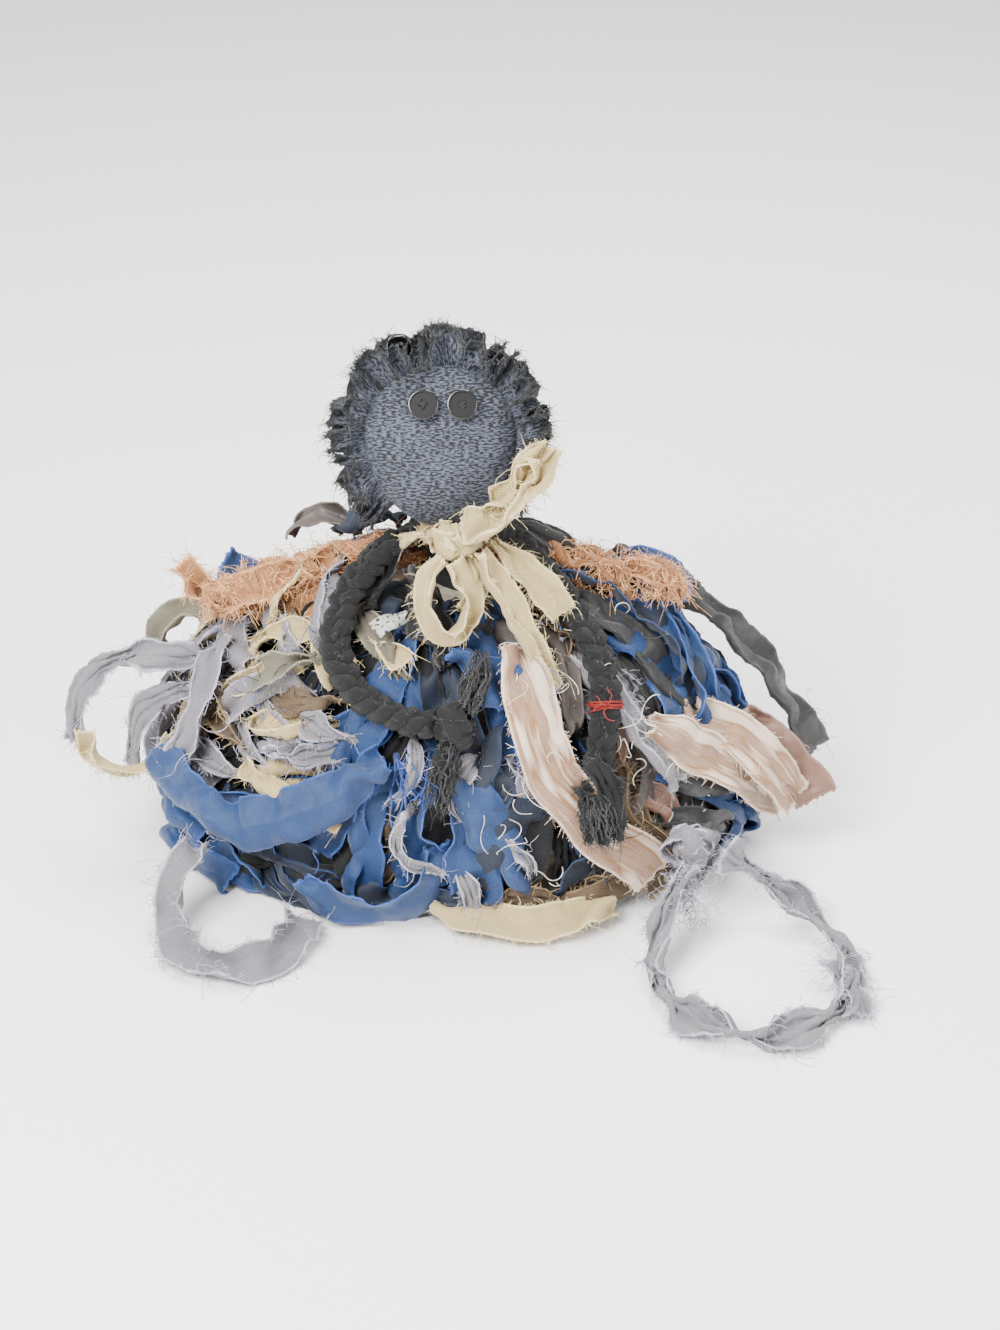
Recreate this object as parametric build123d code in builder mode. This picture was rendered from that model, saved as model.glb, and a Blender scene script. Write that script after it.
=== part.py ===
"""Rag scarecrow: a stuffed mound with wire arms, covered in knotted strips of cloth, and a button-eyed head.

Millimetres, +Z up, the figure faces -Y. The origin is the middle of the flat underside.
"""

import math
import os

from build123d import *

os.makedirs("parts", exist_ok=True)

# ---------------------------------------------------------------- driving dimensions

# Stuffed body: the upper half of an ellipsoid
BODY_HALF_WIDTH = 140.0
BODY_HALF_DEPTH = 90.0
BODY_HEIGHT = 155.0
BAG_WALL = 1.5
BASE_THICKNESS = 3.0
BASE_INSET = 4.0

# Cloth strips, and the levels on the body that they run between
CLOTH = 1.6
SHOULDER = 0.82 * BODY_HEIGHT
CHEST = 0.70 * BODY_HEIGHT
WAIST = 0.55 * BODY_HEIGHT
HIP = 0.37 * BODY_HEIGHT
HEM = 0.14 * BODY_HEIGHT
FIRST_LAYER = 1.6
LAYER_PITCH = 4.0
STATIONS_PER_SPAN = 4

# Frame
POST_RADIUS = 5.0
POST_TOP = BODY_HEIGHT + 21.0
WIRE_RADIUS = 2.0
WIRE_CLEARANCE = 0.1
WIRE_HEIGHT = BODY_HEIGHT + 10.0
NECK_RADIUS = 12.0
NECK_WALL = 2.0
NECK_BOTTOM = BODY_HEIGHT + 1.5
NECK_TOP = BODY_HEIGHT + 24.0
WRAP_RADIUS = 10.0

# Head
HEAD_CENTRE = (-6.0, -15.0, BODY_HEIGHT + 72.0)
HEAD_TILT = 20.0
FACE_HALF_WIDTH = 37.0
FACE_HALF_HEIGHT = 40.0
CHIN_TAPER = 0.12
PAD_HALF_THICKNESS = 18.0
PAD_ROUNDING = 0.7
PAD_COVER_SHARE = 0.94
RUFFLE_CLOTH = 3.0
RUFFLE_SEAM = 3.9
NECK_GAP = 2.5
GATHER_HEIGHT = 26.0

# Buttons
EYE_BUTTON_RADIUS = 7.5
EYE_BUTTON_THICKNESS = 2.8
EYE_RIM = 1.3
EYE_WELL = 1.0
EYE_HOLE_RADIUS = 0.9
EYE_HOLE_RING = 1.7
EYE_THREAD_RADIUS = 0.45
EYE_CLEARANCE = 0.35
EYE_LIFT = 2.2
EYE_TILT = -14.0

# Braids
BRAID_RADIUS = 7.5
TIE_CLEARANCE = 0.6
TIE_WALL = 1.2
TIE_LENGTH = 5.0
ARC_SHARE = 0.45


def write(builder, name):
    """Label a finished piece and write its STEP file."""
    builder.part.label = name
    export_step(builder.part, f"parts/{name}.step")


# ---------------------------------------------------------------- geometry of the draped strips


def body_normal(point):
    """Outward direction of the stuffed body's surface at a point."""
    return Vector(
        point.X / BODY_HALF_WIDTH**2,
        point.Y / BODY_HALF_DEPTH**2,
        point.Z / BODY_HEIGHT**2,
    ).normalized()


def on_body(bearing, height, layer):
    """Point over the body: degrees from the front towards the figure's +X side, height, and cloth layer."""
    turn = math.radians(bearing)
    shrink = math.sqrt(1 - (height / BODY_HEIGHT) ** 2)
    point = Vector(
        BODY_HALF_WIDTH * shrink * math.sin(turn),
        -BODY_HALF_DEPTH * shrink * math.cos(turn),
        height,
    )
    return point + body_normal(point) * (FIRST_LAYER + LAYER_PITCH * layer)


def sampled(controls, spans=STATIONS_PER_SPAN):
    """Triples on a smooth line through the control triples."""
    with BuildLine() as line:
        if len(controls) > 2:
            Spline(*controls)
        else:
            Line(*controls)
    count = spans * (len(controls) - 1)
    return [line.line @ (i / count) for i in range(count + 1)]


def blended(directions, spans=STATIONS_PER_SPAN):
    """Directions turned evenly from each to the next."""
    vectors = [Vector(*d).normalized() for d in directions]
    turned = []
    for first, second in zip(vectors, vectors[1:]):
        turned += [(first * (spans - i) + second * i).normalized() for i in range(spans)]
    return turned + [vectors[-1]]


def ribbon(points, normals, width, thickness=CLOTH, end_share=1.0):
    """Strip of cloth along points, its face turned to the normals, narrowing towards the end by end_share."""
    last = len(points) - 1
    with BuildPart() as strip:
        for i, (point, normal) in enumerate(zip(points, normals)):
            along = (points[min(i + 1, last)] - points[max(i - 1, 0)]).normalized()
            side = along.cross(normal).normalized()
            wide = width * (1 + (end_share - 1) * i / last)
            with BuildSketch(Plane(origin=point, x_dir=side, z_dir=along)):
                Rectangle(wide, thickness)
        loft()
    return strip


def body_strip(controls, width, thickness=CLOTH, end_share=1.0):
    """Strip laid over the body, its controls as bearing, height and layer."""
    places = [on_body(*step) for step in sampled(controls)]
    return ribbon(places, [body_normal(p) for p in places], width, thickness, end_share)


def free_strip(controls, facings, width, thickness=CLOTH, end_share=1.0):
    """Strip through the air, its controls in millimetres, with the direction that its face looks at each."""
    return ribbon(sampled(controls), blended(facings), width, thickness, end_share)


def bowed(start, end, bow, count=5):
    """Points from start to end, pushed out by bow in the middle."""
    first, last, push = Vector(*start), Vector(*end), Vector(*bow)
    shares = [i / (count - 1) for i in range(count)]
    return [first * (1 - s) + last * s + push * math.sin(math.pi * s) for s in shares]


def arched(centre, across, up, start, end, count=7):
    """Points round an ellipse with two half axes, from one angle in degrees to another."""
    angles = [math.radians(start + (end - start) * i / (count - 1)) for i in range(count)]
    return [Vector(*centre) + Vector(*across) * math.cos(a) + Vector(*up) * math.sin(a) for a in angles]


def outward(points, centre, lean):
    """Directions away from a centre, all leaned the same way."""
    return [(p - Vector(*centre)).normalized() + Vector(*lean) for p in points]


def corner_radii(points):
    """Largest tangent arc that the two runs at each corner of a cord's route allow."""
    radii = []
    for before, corner, after in zip(points, points[1:], points[2:]):
        first = Vector(*corner) - Vector(*before)
        second = Vector(*after) - Vector(*corner)
        turn = math.radians(first.get_angle(second))
        radii.append(ARC_SHARE * min(first.length, second.length) / math.tan(turn / 2))
    return radii


def cord(points, radius):
    """Round cord along straight runs joined by tangent arcs."""
    with BuildPart() as tube:
        with BuildLine() as route:
            FilletPolyline(*points, radius=corner_radii(points))
        with BuildSketch(Plane(origin=route.line @ 0, z_dir=route.line % 0)):
            Circle(radius)
        sweep()
    return tube


def tapered(points, radii):
    """Round bundle of threads through points, with its radius at each."""
    last = len(points) - 1
    vectors = [Vector(*p) for p in points]
    with BuildPart() as bundle:
        for i, (point, radius) in enumerate(zip(vectors, radii)):
            along = (vectors[min(i + 1, last)] - vectors[max(i - 1, 0)]).normalized()
            with BuildSketch(Plane(origin=point, z_dir=along)):
                Circle(radius)
        loft()
    return bundle


def ellipsoid(centre, half_sizes):
    """Rounded lump of cloth, such as a knot."""
    ball = Solid.make_sphere(1.0, Plane.XY, -90, 90, 360)
    with BuildPart() as lump:
        add(scale(ball, by=half_sizes, mode=Mode.PRIVATE).moved(Location(centre)))
    return lump


# ---------------------------------------------------------------- stuffed body and frame


def dome(inset, floor):
    """Upper half of the body's ellipsoid, drawn in by inset, from the floor height up."""
    half_sizes = (BODY_HALF_WIDTH - inset, BODY_HALF_DEPTH - inset, BODY_HEIGHT - inset)
    with BuildPart() as solid:
        add(scale(Sphere(1.0, mode=Mode.PRIVATE), by=half_sizes, mode=Mode.PRIVATE))
        split(bisect_by=Plane.XY.offset(floor), keep=Keep.TOP)
    return solid


with BuildPart() as body_bag:
    add(dome(0.0, BASE_THICKNESS).part)
    add(dome(BAG_WALL, BASE_THICKNESS).part, mode=Mode.SUBTRACT)
    with Locations((0, 0, BODY_HEIGHT)):
        Cylinder(POST_RADIUS, 4 * BAG_WALL, mode=Mode.SUBTRACT)
write(body_bag, "body_bag")

with BuildPart() as body_stuffing:
    add(dome(BAG_WALL, BASE_THICKNESS).part)
    Cylinder(
        POST_RADIUS,
        2 * BODY_HEIGHT,
        align=(Align.CENTER, Align.CENTER, Align.CENTER),
        mode=Mode.SUBTRACT,
    )
write(body_stuffing, "body_stuffing")

with BuildPart() as base_panel:
    with BuildSketch():
        Ellipse(BODY_HALF_WIDTH - BASE_INSET, BODY_HALF_DEPTH - BASE_INSET)
    extrude(amount=BASE_THICKNESS)
write(base_panel, "base_panel")

# The wire runs straight through the post, then both arms droop
ARM_POINTS = [
    (-125, -10, WIRE_HEIGHT - 25),
    (-100, -10, WIRE_HEIGHT - 20),
    (-60, -8, WIRE_HEIGHT - 8),
    (-20, 0, WIRE_HEIGHT),
    (20, 0, WIRE_HEIGHT),
    (55, -8, WIRE_HEIGHT - 5),
    (80, -10, WIRE_HEIGHT - 12),
    (110, -10, WIRE_HEIGHT - 16),
]

with BuildPart() as wire_hole:
    add(cord(ARM_POINTS, WIRE_RADIUS + WIRE_CLEARANCE).part)

arm_wire = cord(ARM_POINTS, WIRE_RADIUS)
write(arm_wire, "arm_wire")

with BuildPart() as post:
    with Locations((0, 0, BASE_THICKNESS)):
        Cylinder(POST_RADIUS, POST_TOP - BASE_THICKNESS, align=(Align.CENTER, Align.CENTER, Align.MIN))
    add(wire_hole.part, mode=Mode.SUBTRACT)
write(post, "post")

with BuildPart() as neck_sleeve:
    with BuildSketch(Plane.XY.offset(NECK_BOTTOM)):
        Circle(NECK_RADIUS)
        Circle(NECK_RADIUS - NECK_WALL, mode=Mode.SUBTRACT)
    extrude(amount=NECK_TOP - NECK_BOTTOM)
    add(wire_hole.part, mode=Mode.SUBTRACT)
write(neck_sleeve, "neck_sleeve")

# ---------------------------------------------------------------- arm wraps

ARM_LEFT_POINTS = [(-19, -1, WIRE_HEIGHT), *reversed(ARM_POINTS[:3]), (-138, -10, WIRE_HEIGHT - 18)]
ARM_RIGHT_POINTS = [(19, -1, WIRE_HEIGHT), *ARM_POINTS[5:7], (114, -10, WIRE_HEIGHT - 17)]


def arm_wrap(points, radii):
    """Torn cloth wound round one arm of the wire."""
    with BuildPart() as wrap:
        add(tapered(points, radii).part)
        add(wire_hole.part, mode=Mode.SUBTRACT)
    return wrap


arm_wrap_left = arm_wrap(ARM_LEFT_POINTS, (8.0, WRAP_RADIUS, 12.0, 11.0, 7.0))
write(arm_wrap_left, "arm_wrap_left")
arm_wrap_right = arm_wrap(ARM_RIGHT_POINTS, (8.0, WRAP_RADIUS, 11.0, 8.0))
write(arm_wrap_right, "arm_wrap_right")

# ---------------------------------------------------------------- head

FACE = Plane(origin=HEAD_CENTRE, x_dir=(1, 0, 0), z_dir=(0, -1, 0)).rotated((-HEAD_TILT, 0, 0))

# Egg-shaped outline of the face pad in the plane of the face, narrower at the chin
OUTLINE_STEP = 30
OUTLINE_ANGLES = [math.radians(a) for a in range(0, 360, OUTLINE_STEP)]
FACE_OUTLINE = [
    (FACE_HALF_WIDTH * math.cos(a) * (1 + CHIN_TAPER * math.sin(a)), FACE_HALF_HEIGHT * math.sin(a))
    for a in OUTLINE_ANGLES
]


def pad(share, half_thickness):
    """Stuffed pad with the outline of the face, full in the middle and thin at the seam."""
    with BuildPart() as solid:
        for angle in range(-80, 81, 16):
            depth = half_thickness * math.sin(math.radians(angle))
            spread = share * math.cos(math.radians(angle)) ** PAD_ROUNDING
            with BuildSketch(FACE.offset(depth)):
                with BuildLine():
                    Spline(*[(x * spread, y * spread) for x, y in FACE_OUTLINE], periodic=True)
                make_face()
        loft()
    return solid


outer_pad = pad(1.0, PAD_HALF_THICKNESS)
inner_pad = pad(PAD_COVER_SHARE, PAD_COVER_SHARE * PAD_HALF_THICKNESS)

with BuildPart() as head_cover:
    add(outer_pad.part)
    add(inner_pad.part, mode=Mode.SUBTRACT)
write(head_cover, "head_cover")

with BuildPart() as head_stuffing:
    add(inner_pad.part)
write(head_stuffing, "head_stuffing")


def outline_reach(angle):
    """Distance from the middle of the face to its outline, at an angle in radians from its right."""
    away = Vector(math.cos(angle), math.sin(angle))
    corners = [Vector(*p) for p in FACE_OUTLINE]
    for first, second in zip(corners, corners[1:] + corners[:1]):
        edge = second - first
        spread = away.cross(edge).Z
        share = first.cross(away).Z / spread
        reach = first.cross(edge).Z / spread
        if reach > 0 and 0 <= share <= 1:
            return reach
    raise ValueError("the outline doesn't go round the middle of the face")


def ruffle(start, end, reach, depth, waves, swing):
    """Gathered frill round the pad between two angles, standing out by reach and swinging in depth."""
    count = max(10, int(abs(end - start) / 6))
    with BuildPart() as frill:
        for i in range(count + 1):
            angle = math.radians(start + (end - start) * i / count)
            ring = outline_reach(angle) + RUFFLE_SEAM
            away = FACE.x_dir * math.cos(angle) + FACE.y_dir * math.sin(angle)
            round_way = FACE.y_dir * math.cos(angle) - FACE.x_dir * math.sin(angle)
            swung = depth + swing * math.sin(2 * math.pi * waves * i / count)
            foot = FACE.origin + away * ring + FACE.z_dir * depth
            tip = FACE.origin + away * (ring + reach) + FACE.z_dir * swung
            across = (tip - foot).normalized()
            with BuildSketch(Plane(origin=(foot + tip) * 0.5, x_dir=across, z_dir=round_way)):
                Rectangle((tip - foot).length, RUFFLE_CLOTH)
        loft()
    return frill


RUFFLES = {
    "ruffle_crown": (50, 132, 20, 2, 2.0, 5),
    "ruffle_left": (136, 228, 17, 1, 2.5, 5),
    "ruffle_right": (-38, 46, 17, 1, 1.5, 5),
    "ruffle_rear": (-38, 215, 18, -9, 6.0, 4),
}

for frill_name, frill_size in RUFFLES.items():
    write(ruffle(*frill_size), frill_name)

# Gathered cloth under the pad, which carries the head over the neck
GATHER_BOTTOM = NECK_TOP + NECK_GAP
GATHER_TOP = GATHER_BOTTOM + GATHER_HEIGHT
with BuildPart() as neck_gather:
    with BuildSketch(Plane.XY.offset(GATHER_BOTTOM)):
        Circle(NECK_RADIUS - 1)
    with BuildSketch(Plane((-3, 4, GATHER_TOP))):
        Circle(NECK_RADIUS - 3)
    loft()
    add(outer_pad.part, mode=Mode.SUBTRACT)
write(neck_gather, "neck_gather")

# ---------------------------------------------------------------- buttons


def button(spot, turn, radius=EYE_BUTTON_RADIUS):
    """Four-hole button over the pad, on a plane that faces out of it."""
    with BuildPart() as disc:
        with BuildSketch(spot):
            Circle(radius)
        extrude(amount=EYE_BUTTON_THICKNESS)
        fillet(disc.edges().filter_by(GeomType.CIRCLE), 0.7)
        with BuildSketch(spot.offset(EYE_BUTTON_THICKNESS)):
            Circle(radius - EYE_RIM)
        extrude(amount=-EYE_WELL, mode=Mode.SUBTRACT)
        with BuildSketch(spot.offset(EYE_BUTTON_THICKNESS)):
            with PolarLocations(EYE_HOLE_RING, 4, start_angle=turn):
                Circle(EYE_HOLE_RADIUS)
        extrude(amount=-EYE_BUTTON_THICKNESS, mode=Mode.SUBTRACT)
    return disc


def button_thread(spot, turn):
    """Two stitches that cross the button between opposite holes."""
    low = -EYE_CLEARANCE / 2
    high = EYE_BUTTON_THICKNESS - EYE_WELL + EYE_THREAD_RADIUS + 0.1
    with BuildPart() as thread:
        for quarter in (0, 1):
            angle = math.radians(turn + 90 * quarter)
            x = EYE_HOLE_RING * math.cos(angle)
            y = EYE_HOLE_RING * math.sin(angle)
            for side in (-1, 1):
                with BuildSketch(spot.offset(low)):
                    with Locations((side * x, side * y)):
                        Circle(EYE_THREAD_RADIUS)
                extrude(amount=high - low)
            bar = Plane(
                origin=spot.from_local_coords((-x, -y, high)),
                z_dir=spot.from_local_coords((x, y, high)) - spot.from_local_coords((-x, -y, high)),
            )
            with BuildSketch(bar):
                Circle(EYE_THREAD_RADIUS)
            extrude(amount=2 * EYE_HOLE_RING)
    return thread


def pad_depth(x, y):
    """How far the pad's front stands out of the plane of the face at a place on it."""
    reach = math.hypot(x / FACE_HALF_WIDTH, y / FACE_HALF_HEIGHT)
    return PAD_HALF_THICKNESS * math.sqrt(max(0.0, 1 - reach ** (2 / PAD_ROUNDING)))


# Each eye's place across and up the face, and the turn of its holes
EYE_PLACES = {"left": (-8.0, 21.0, 10.0), "right": (11.0, 21.0, 35.0)}

for eye_side, (eye_x, eye_y, eye_turn) in EYE_PLACES.items():
    eye_depth = pad_depth(eye_x, eye_y) + EYE_CLEARANCE
    eye_origin = FACE.from_local_coords((eye_x, eye_y, eye_depth))
    eye_spot = Plane(origin=eye_origin, x_dir=FACE.x_dir, z_dir=FACE.z_dir).rotated((EYE_TILT, 0, 0))
    eye_spot = eye_spot.offset(EYE_LIFT)
    write(button(eye_spot, eye_turn), f"eye_button_{eye_side}")
    write(button_thread(eye_spot, eye_turn), f"eye_thread_{eye_side}")
    print("eye", eye_side, *eye_spot.origin, *eye_spot.z_dir)

crown_spot = Plane(origin=FACE.from_local_coords((-19, 50, 9)), x_dir=FACE.x_dir, z_dir=FACE.z_dir)
crown_button = button(crown_spot.rotated((20, -25, 0)), 45.0, EYE_BUTTON_RADIUS - 1)
write(crown_button, "crown_button")

# ---------------------------------------------------------------- scarf

BAND_CENTRE = (0, -4, BODY_HEIGHT + 28)
BAND_RADIUS = 20.0
BAND_CLOTH_RADIUS = 4.0

with BuildPart() as scarf_band:
    with BuildLine() as band_line:
        CenterArc((0, 0), BAND_RADIUS, 0, 360)
    with BuildSketch(Plane(origin=(BAND_RADIUS, 0, 0), z_dir=(0, 1, 0))):
        Circle(BAND_CLOTH_RADIUS)
    sweep()
scarf_band.part = scarf_band.part.moved(Location(BAND_CENTRE))
write(scarf_band, "scarf_band")

SCARF_KNOT = (0, -46, BODY_HEIGHT + 38)
scarf_knot = ellipsoid(SCARF_KNOT, (12, 9, 11))
write(scarf_knot, "scarf_knot")

UPPER_LOOP_POINTS = bowed((12, -50, BODY_HEIGHT + 46), (50, -36, BODY_HEIGHT + 86), (3, -3, -2), 4)
scarf_loop_upper = free_strip(UPPER_LOOP_POINTS, [(-0.5, -0.7, 0.5)] * 4, 20, 7, 0.7)
write(scarf_loop_upper, "scarf_loop_upper")

LOWER_LOOP_CENTRE = (-2, -63, BODY_HEIGHT + 13)
LOWER_LOOP_POINTS = arched(LOWER_LOOP_CENTRE, (10, 0, 0), (0, 5, 18), 115, 425)
LOWER_LOOP_FACES = outward(LOWER_LOOP_POINTS, LOWER_LOOP_CENTRE, (0, -0.5, 0))
scarf_loop_lower = free_strip(LOWER_LOOP_POINTS, LOWER_LOOP_FACES, 14)
write(scarf_loop_lower, "scarf_loop_lower")

TAIL_POINTS = bowed((15, -55, BODY_HEIGHT + 34), (50, -72, BODY_HEIGHT - 35), (2, 0, 0))
scarf_tail_long = free_strip(TAIL_POINTS, [(0.1, -0.8, 0.5)] * 5, 18, CLOTH, 1.2)
write(scarf_tail_long, "scarf_tail_long")

# ---------------------------------------------------------------- braids

BRAID_LEFT_POINTS = [
    (-28, -28, 180),
    (-45, -35, 170),
    (-55, -48, 155),
    (-60, -62, 138),
    (-50, -76, 122),
    (-30, -86, 112),
    (-10, -90, 110),
]
BRAID_RIGHT_POINTS = [
    (25, -25, 184),
    (40, -30, 172),
    (55, -40, 156),
    (68, -52, 140),
    (76, -64, 122),
    (76, -78, 100),
    (70, -91, 75),
]

braid_left = cord(BRAID_LEFT_POINTS, BRAID_RADIUS)
write(braid_left, "braid_left")
braid_right = cord(BRAID_RIGHT_POINTS, BRAID_RADIUS)
write(braid_right, "braid_right")

braid_left_knot = ellipsoid((0.5, -90, 110), (10, 9, 9))
write(braid_left_knot, "braid_left_knot")
with BuildPart() as braid_left_ends:
    add(tapered([(7, -88, 119), (12, -80, 130), (14, -73, 141)], (5, 6, 4)).part)
    add(tapered([(-1, -94, 100.5), (-5, -98, 86), (-7, -102, 71)], (6, 8, 9)).part)
write(braid_left_ends, "braid_left_ends")
braid_right_end = tapered([(69.5, -93.4, 72), (72, -97, 65), (76, -100, 55)], (8, 12, 10))
write(braid_right_end, "braid_right_end")

tie_low = Vector(*BRAID_RIGHT_POINTS[5])
tie_high = Vector(*BRAID_RIGHT_POINTS[4])
tie_plane = Plane(origin=(tie_low + tie_high) * 0.5, z_dir=tie_high - tie_low)
with BuildPart() as braid_right_tie:
    with BuildSketch(tie_plane):
        Circle(BRAID_RADIUS + TIE_CLEARANCE + TIE_WALL)
        Circle(BRAID_RADIUS + TIE_CLEARANCE, mode=Mode.SUBTRACT)
    extrude(amount=TIE_LENGTH / 2, both=True)
write(braid_right_tie, "braid_right_tie")

# ---------------------------------------------------------------- strips that lie on the body

# Each node's strips: width, bearing and level of both ends, bow in bearing and height, layer at both ends
BODY_STRIPS = {
    "blue_fold_centre": [(28, (0, SHOULDER), (15, CHEST), (3, 0), (1, 1))],
    "blue_twist_left": [(24, (-15, CHEST), (-45, HIP), (0, 0), (0, 0))],
    "blue_sweep": [(25, (-70, HIP), (-15, WAIST), (0, -25), (5, 2))],
    "blue_strip_centre": [(26, (0, WAIST), (15, HEM), (0, 0), (2, 2))],
    "blue_strips_right": [
        (24, (30, WAIST), (30, HEM), (0, 0), (0, 0)),
        (24, (55, HIP), (75, HEM), (0, 0), (2, 3)),
    ],
    "blue_drape_right": [(38, (65, SHOULDER), (90, HIP), (5, 5), (1, 3))],
    "grey_drop_left": [(20, (-75, CHEST), (-65, HIP), (5, 0), (5.5, 5.5))],
    "grey_strips_front": [
        (18, (-60, WAIST), (-40, CHEST), (-3, 6), (4, 1.5)),
        (20, (15, WAIST + 5), (15, HIP), (0, 0), (1, 1)),
    ],
    "grey_twist_right": [(20, (40, SHOULDER), (50, HIP), (0, 0), (1, 4))],
    "cream_strips": [
        (16, (-70, CHEST), (-45, SHOULDER), (0, 4), (3, 2.5)),
        (18, (-55, WAIST), (-30, WAIST + 10), (0, 0), (2.5, 2)),
        (16, (-50, HIP + 5), (-30, WAIST - 5), (0, 0), (1, 1)),
        (18, (-30, SHOULDER), (-15, SHOULDER - 5), (0, 3), (2, 2)),
    ],
    "brocade_strip_long": [(25, (20, SHOULDER), (40, HEM), (-8, 0), (2, 2))],
    "brocade_strip_low": [(24, (50, WAIST), (80, HEM), (0, 0), (2, 6))],
    "woven_tag": [(11, (-25, SHOULDER + 3), (-18, SHOULDER + 10), (0, 0), (4.5, 4.5))],
}

for node_name, node_strips in BODY_STRIPS.items():
    with BuildPart() as laid_strips:
        for strip_width, strip_start, strip_end, strip_bow, (first_layer, last_layer) in node_strips:
            strip_steps = bowed((*strip_start, first_layer), (*strip_end, last_layer), (*strip_bow, 0))
            add(body_strip([tuple(step) for step in strip_steps], strip_width).part)
    write(laid_strips, node_name)

# ---------------------------------------------------------------- strips that stand free of the body

# Strips with two ends: width, ends, bow, and the direction that the face looks
BOWED_STRIPS = {
    "blue_tip_left": (22, (-120, 16, 146), (-90, 16, 130), (0, 0, -4), (-0.4, -0.2, 1)),
    "grey_flare_left": (18, (-120, -24, 110), (-200, -10, 50), (-22, 0, 22), (-0.6, -0.7, 0.6)),
    "cream_strip_bottom": (20, (-10, -100, 12), (80, -100, 12), (0, -14, -3), (0, -0.5, 1)),
    "black_lining_right": (30, (75, 16, 148), (190, -5, 45), (10, 8, 14), (0.6, -0.4, 0.8)),
    "satin_strip_right": (26, (150, -26, 80), (186, -40, 36), (0, 0, 3), (0.5, -0.8, 0.4)),
}

for strip_name, (strip_width, strip_start, strip_end, strip_bow, strip_face) in BOWED_STRIPS.items():
    strip_points = bowed(strip_start, strip_end, strip_bow)
    write(free_strip(strip_points, [strip_face] * len(strip_points), strip_width), strip_name)

# Curled strips: width, centre, two half axes, first and last angle, and how their outward faces lean
CURLED_STRIPS = {
    "blue_low_loop": (22, (-42, -100, 36), (36, 0, 0), (0, 10, 22), (200, 350), (0, -0.9, 0)),
    "taupe_curl": (13, (-66, 6, 160), (16, 0, 0), (0, 2, 15), (150, 30), (0, -0.3, 0)),
    "cream_loop_left": (14, (-166, -44, 84), (22, 4, 0), (0, 0, 28), (185, 345), (0, -0.6, 0)),
    "olive_loop_left": (16, (-137, 10, 104), (17, 0, 0), (0, 4, 14), (35, 325), (0, -0.6, 0)),
}

for strip_name, (strip_width, strip_centre, across, up, (first, last), lean) in CURLED_STRIPS.items():
    strip_points = arched(strip_centre, across, up, first, last)
    write(free_strip(strip_points, outward(strip_points, strip_centre, lean), strip_width), strip_name)

# ---------------------------------------------------------------- knotted loops on the floor

LOOP_WIDTH = 15
LOOP_REST = 8
LOOP_SPANS = 11
LOOP_LEAN = 0.8


def floor_loop(centre, half_sizes, start, end, knot_angle, rise, thickness):
    """Ring of cloth on the floor from one angle to another, which rises towards its knot."""
    points = []
    faces = []
    for i in range(LOOP_SPANS + 1):
        angle = math.radians(start + (end - start) * i / LOOP_SPANS)
        near = max(0.0, math.cos(angle - math.radians(knot_angle)))
        x = centre[0] + half_sizes[0] * math.cos(angle)
        y = centre[1] + half_sizes[1] * math.sin(angle)
        points.append((x, y, LOOP_REST + rise * near**3))
        faces.append((LOOP_LEAN * math.cos(angle), -LOOP_LEAN * abs(math.sin(angle)), 1))
    return free_strip(points, faces, LOOP_WIDTH, thickness)


right_floor_loop = floor_loop((148, -150), (48, 55), 127, 463, 115, 32, 5)
write(right_floor_loop, "right_floor_loop")

RIGHT_KNOT = (120, -90, 40)
right_loop_knot = ellipsoid(RIGHT_KNOT, (11, 9, 9))
write(right_loop_knot, "right_loop_knot")

left_floor_loop = floor_loop((-109, -112), (32, 36), 130, 370, 130, 26, 4)
write(left_floor_loop, "left_floor_loop")

# ---------------------------------------------------------------- strips down the back

BACK_TOP = 138
BACK_FOOT = 14
BACK_WIDTH = 24
BACK_LEAN = 6

# Each node's strips: the bearing at the top, and the cloth layer
BACK_STRIPS = {
    "back_strips_grey": [(-112, 1), (112, 1)],
    "back_strips_blue": [(-136, 0), (136, 0)],
    "back_strip_cream": [(-160, 1)],
    "back_strip_black": [(178, 0)],
}


def back_strip(bearing, layer):
    """Strip that hangs from the shoulders to the floor, leaning round towards the side."""
    lean = math.copysign(BACK_LEAN, bearing)
    controls = [
        (bearing, BACK_TOP, layer),
        (bearing - lean / 2, (BACK_TOP + BACK_FOOT) / 2, layer + 0.5),
        (bearing - lean, BACK_FOOT, layer + 1),
    ]
    return body_strip(controls, BACK_WIDTH)


for node_name, node_strips in BACK_STRIPS.items():
    with BuildPart() as hung_strips:
        for strip_bearing, strip_layer in node_strips:
            add(back_strip(strip_bearing, strip_layer).part)
    write(hung_strips, node_name)
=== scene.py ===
"""Rag scarecrow: a heap of knotted, frayed strips of cloth with a stuffed denim head, button eyes and yarn braids."""

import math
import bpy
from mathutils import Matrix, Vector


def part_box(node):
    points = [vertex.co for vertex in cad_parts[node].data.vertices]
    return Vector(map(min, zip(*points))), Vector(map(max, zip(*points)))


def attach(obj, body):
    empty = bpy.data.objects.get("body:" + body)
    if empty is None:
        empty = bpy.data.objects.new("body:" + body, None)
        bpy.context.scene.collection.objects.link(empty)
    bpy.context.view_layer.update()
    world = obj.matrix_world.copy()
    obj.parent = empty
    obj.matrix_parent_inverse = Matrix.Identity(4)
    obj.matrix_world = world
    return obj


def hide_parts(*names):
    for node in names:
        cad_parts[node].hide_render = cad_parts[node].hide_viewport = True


bl_info = {
    "name": "Rag Scarecrow",
    "version": (1, 0, 0),
    "blender": (4, 5, 0),
    "location": "View3D > Sidebar > Rag Scarecrow",
    "description": "Builds a scarecrow figure of torn cloth strips round its CAD frame",
    "category": "Object",
}

import bmesh
import bpy
import numpy as np
from mathutils import Matrix, Vector, noise

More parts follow.
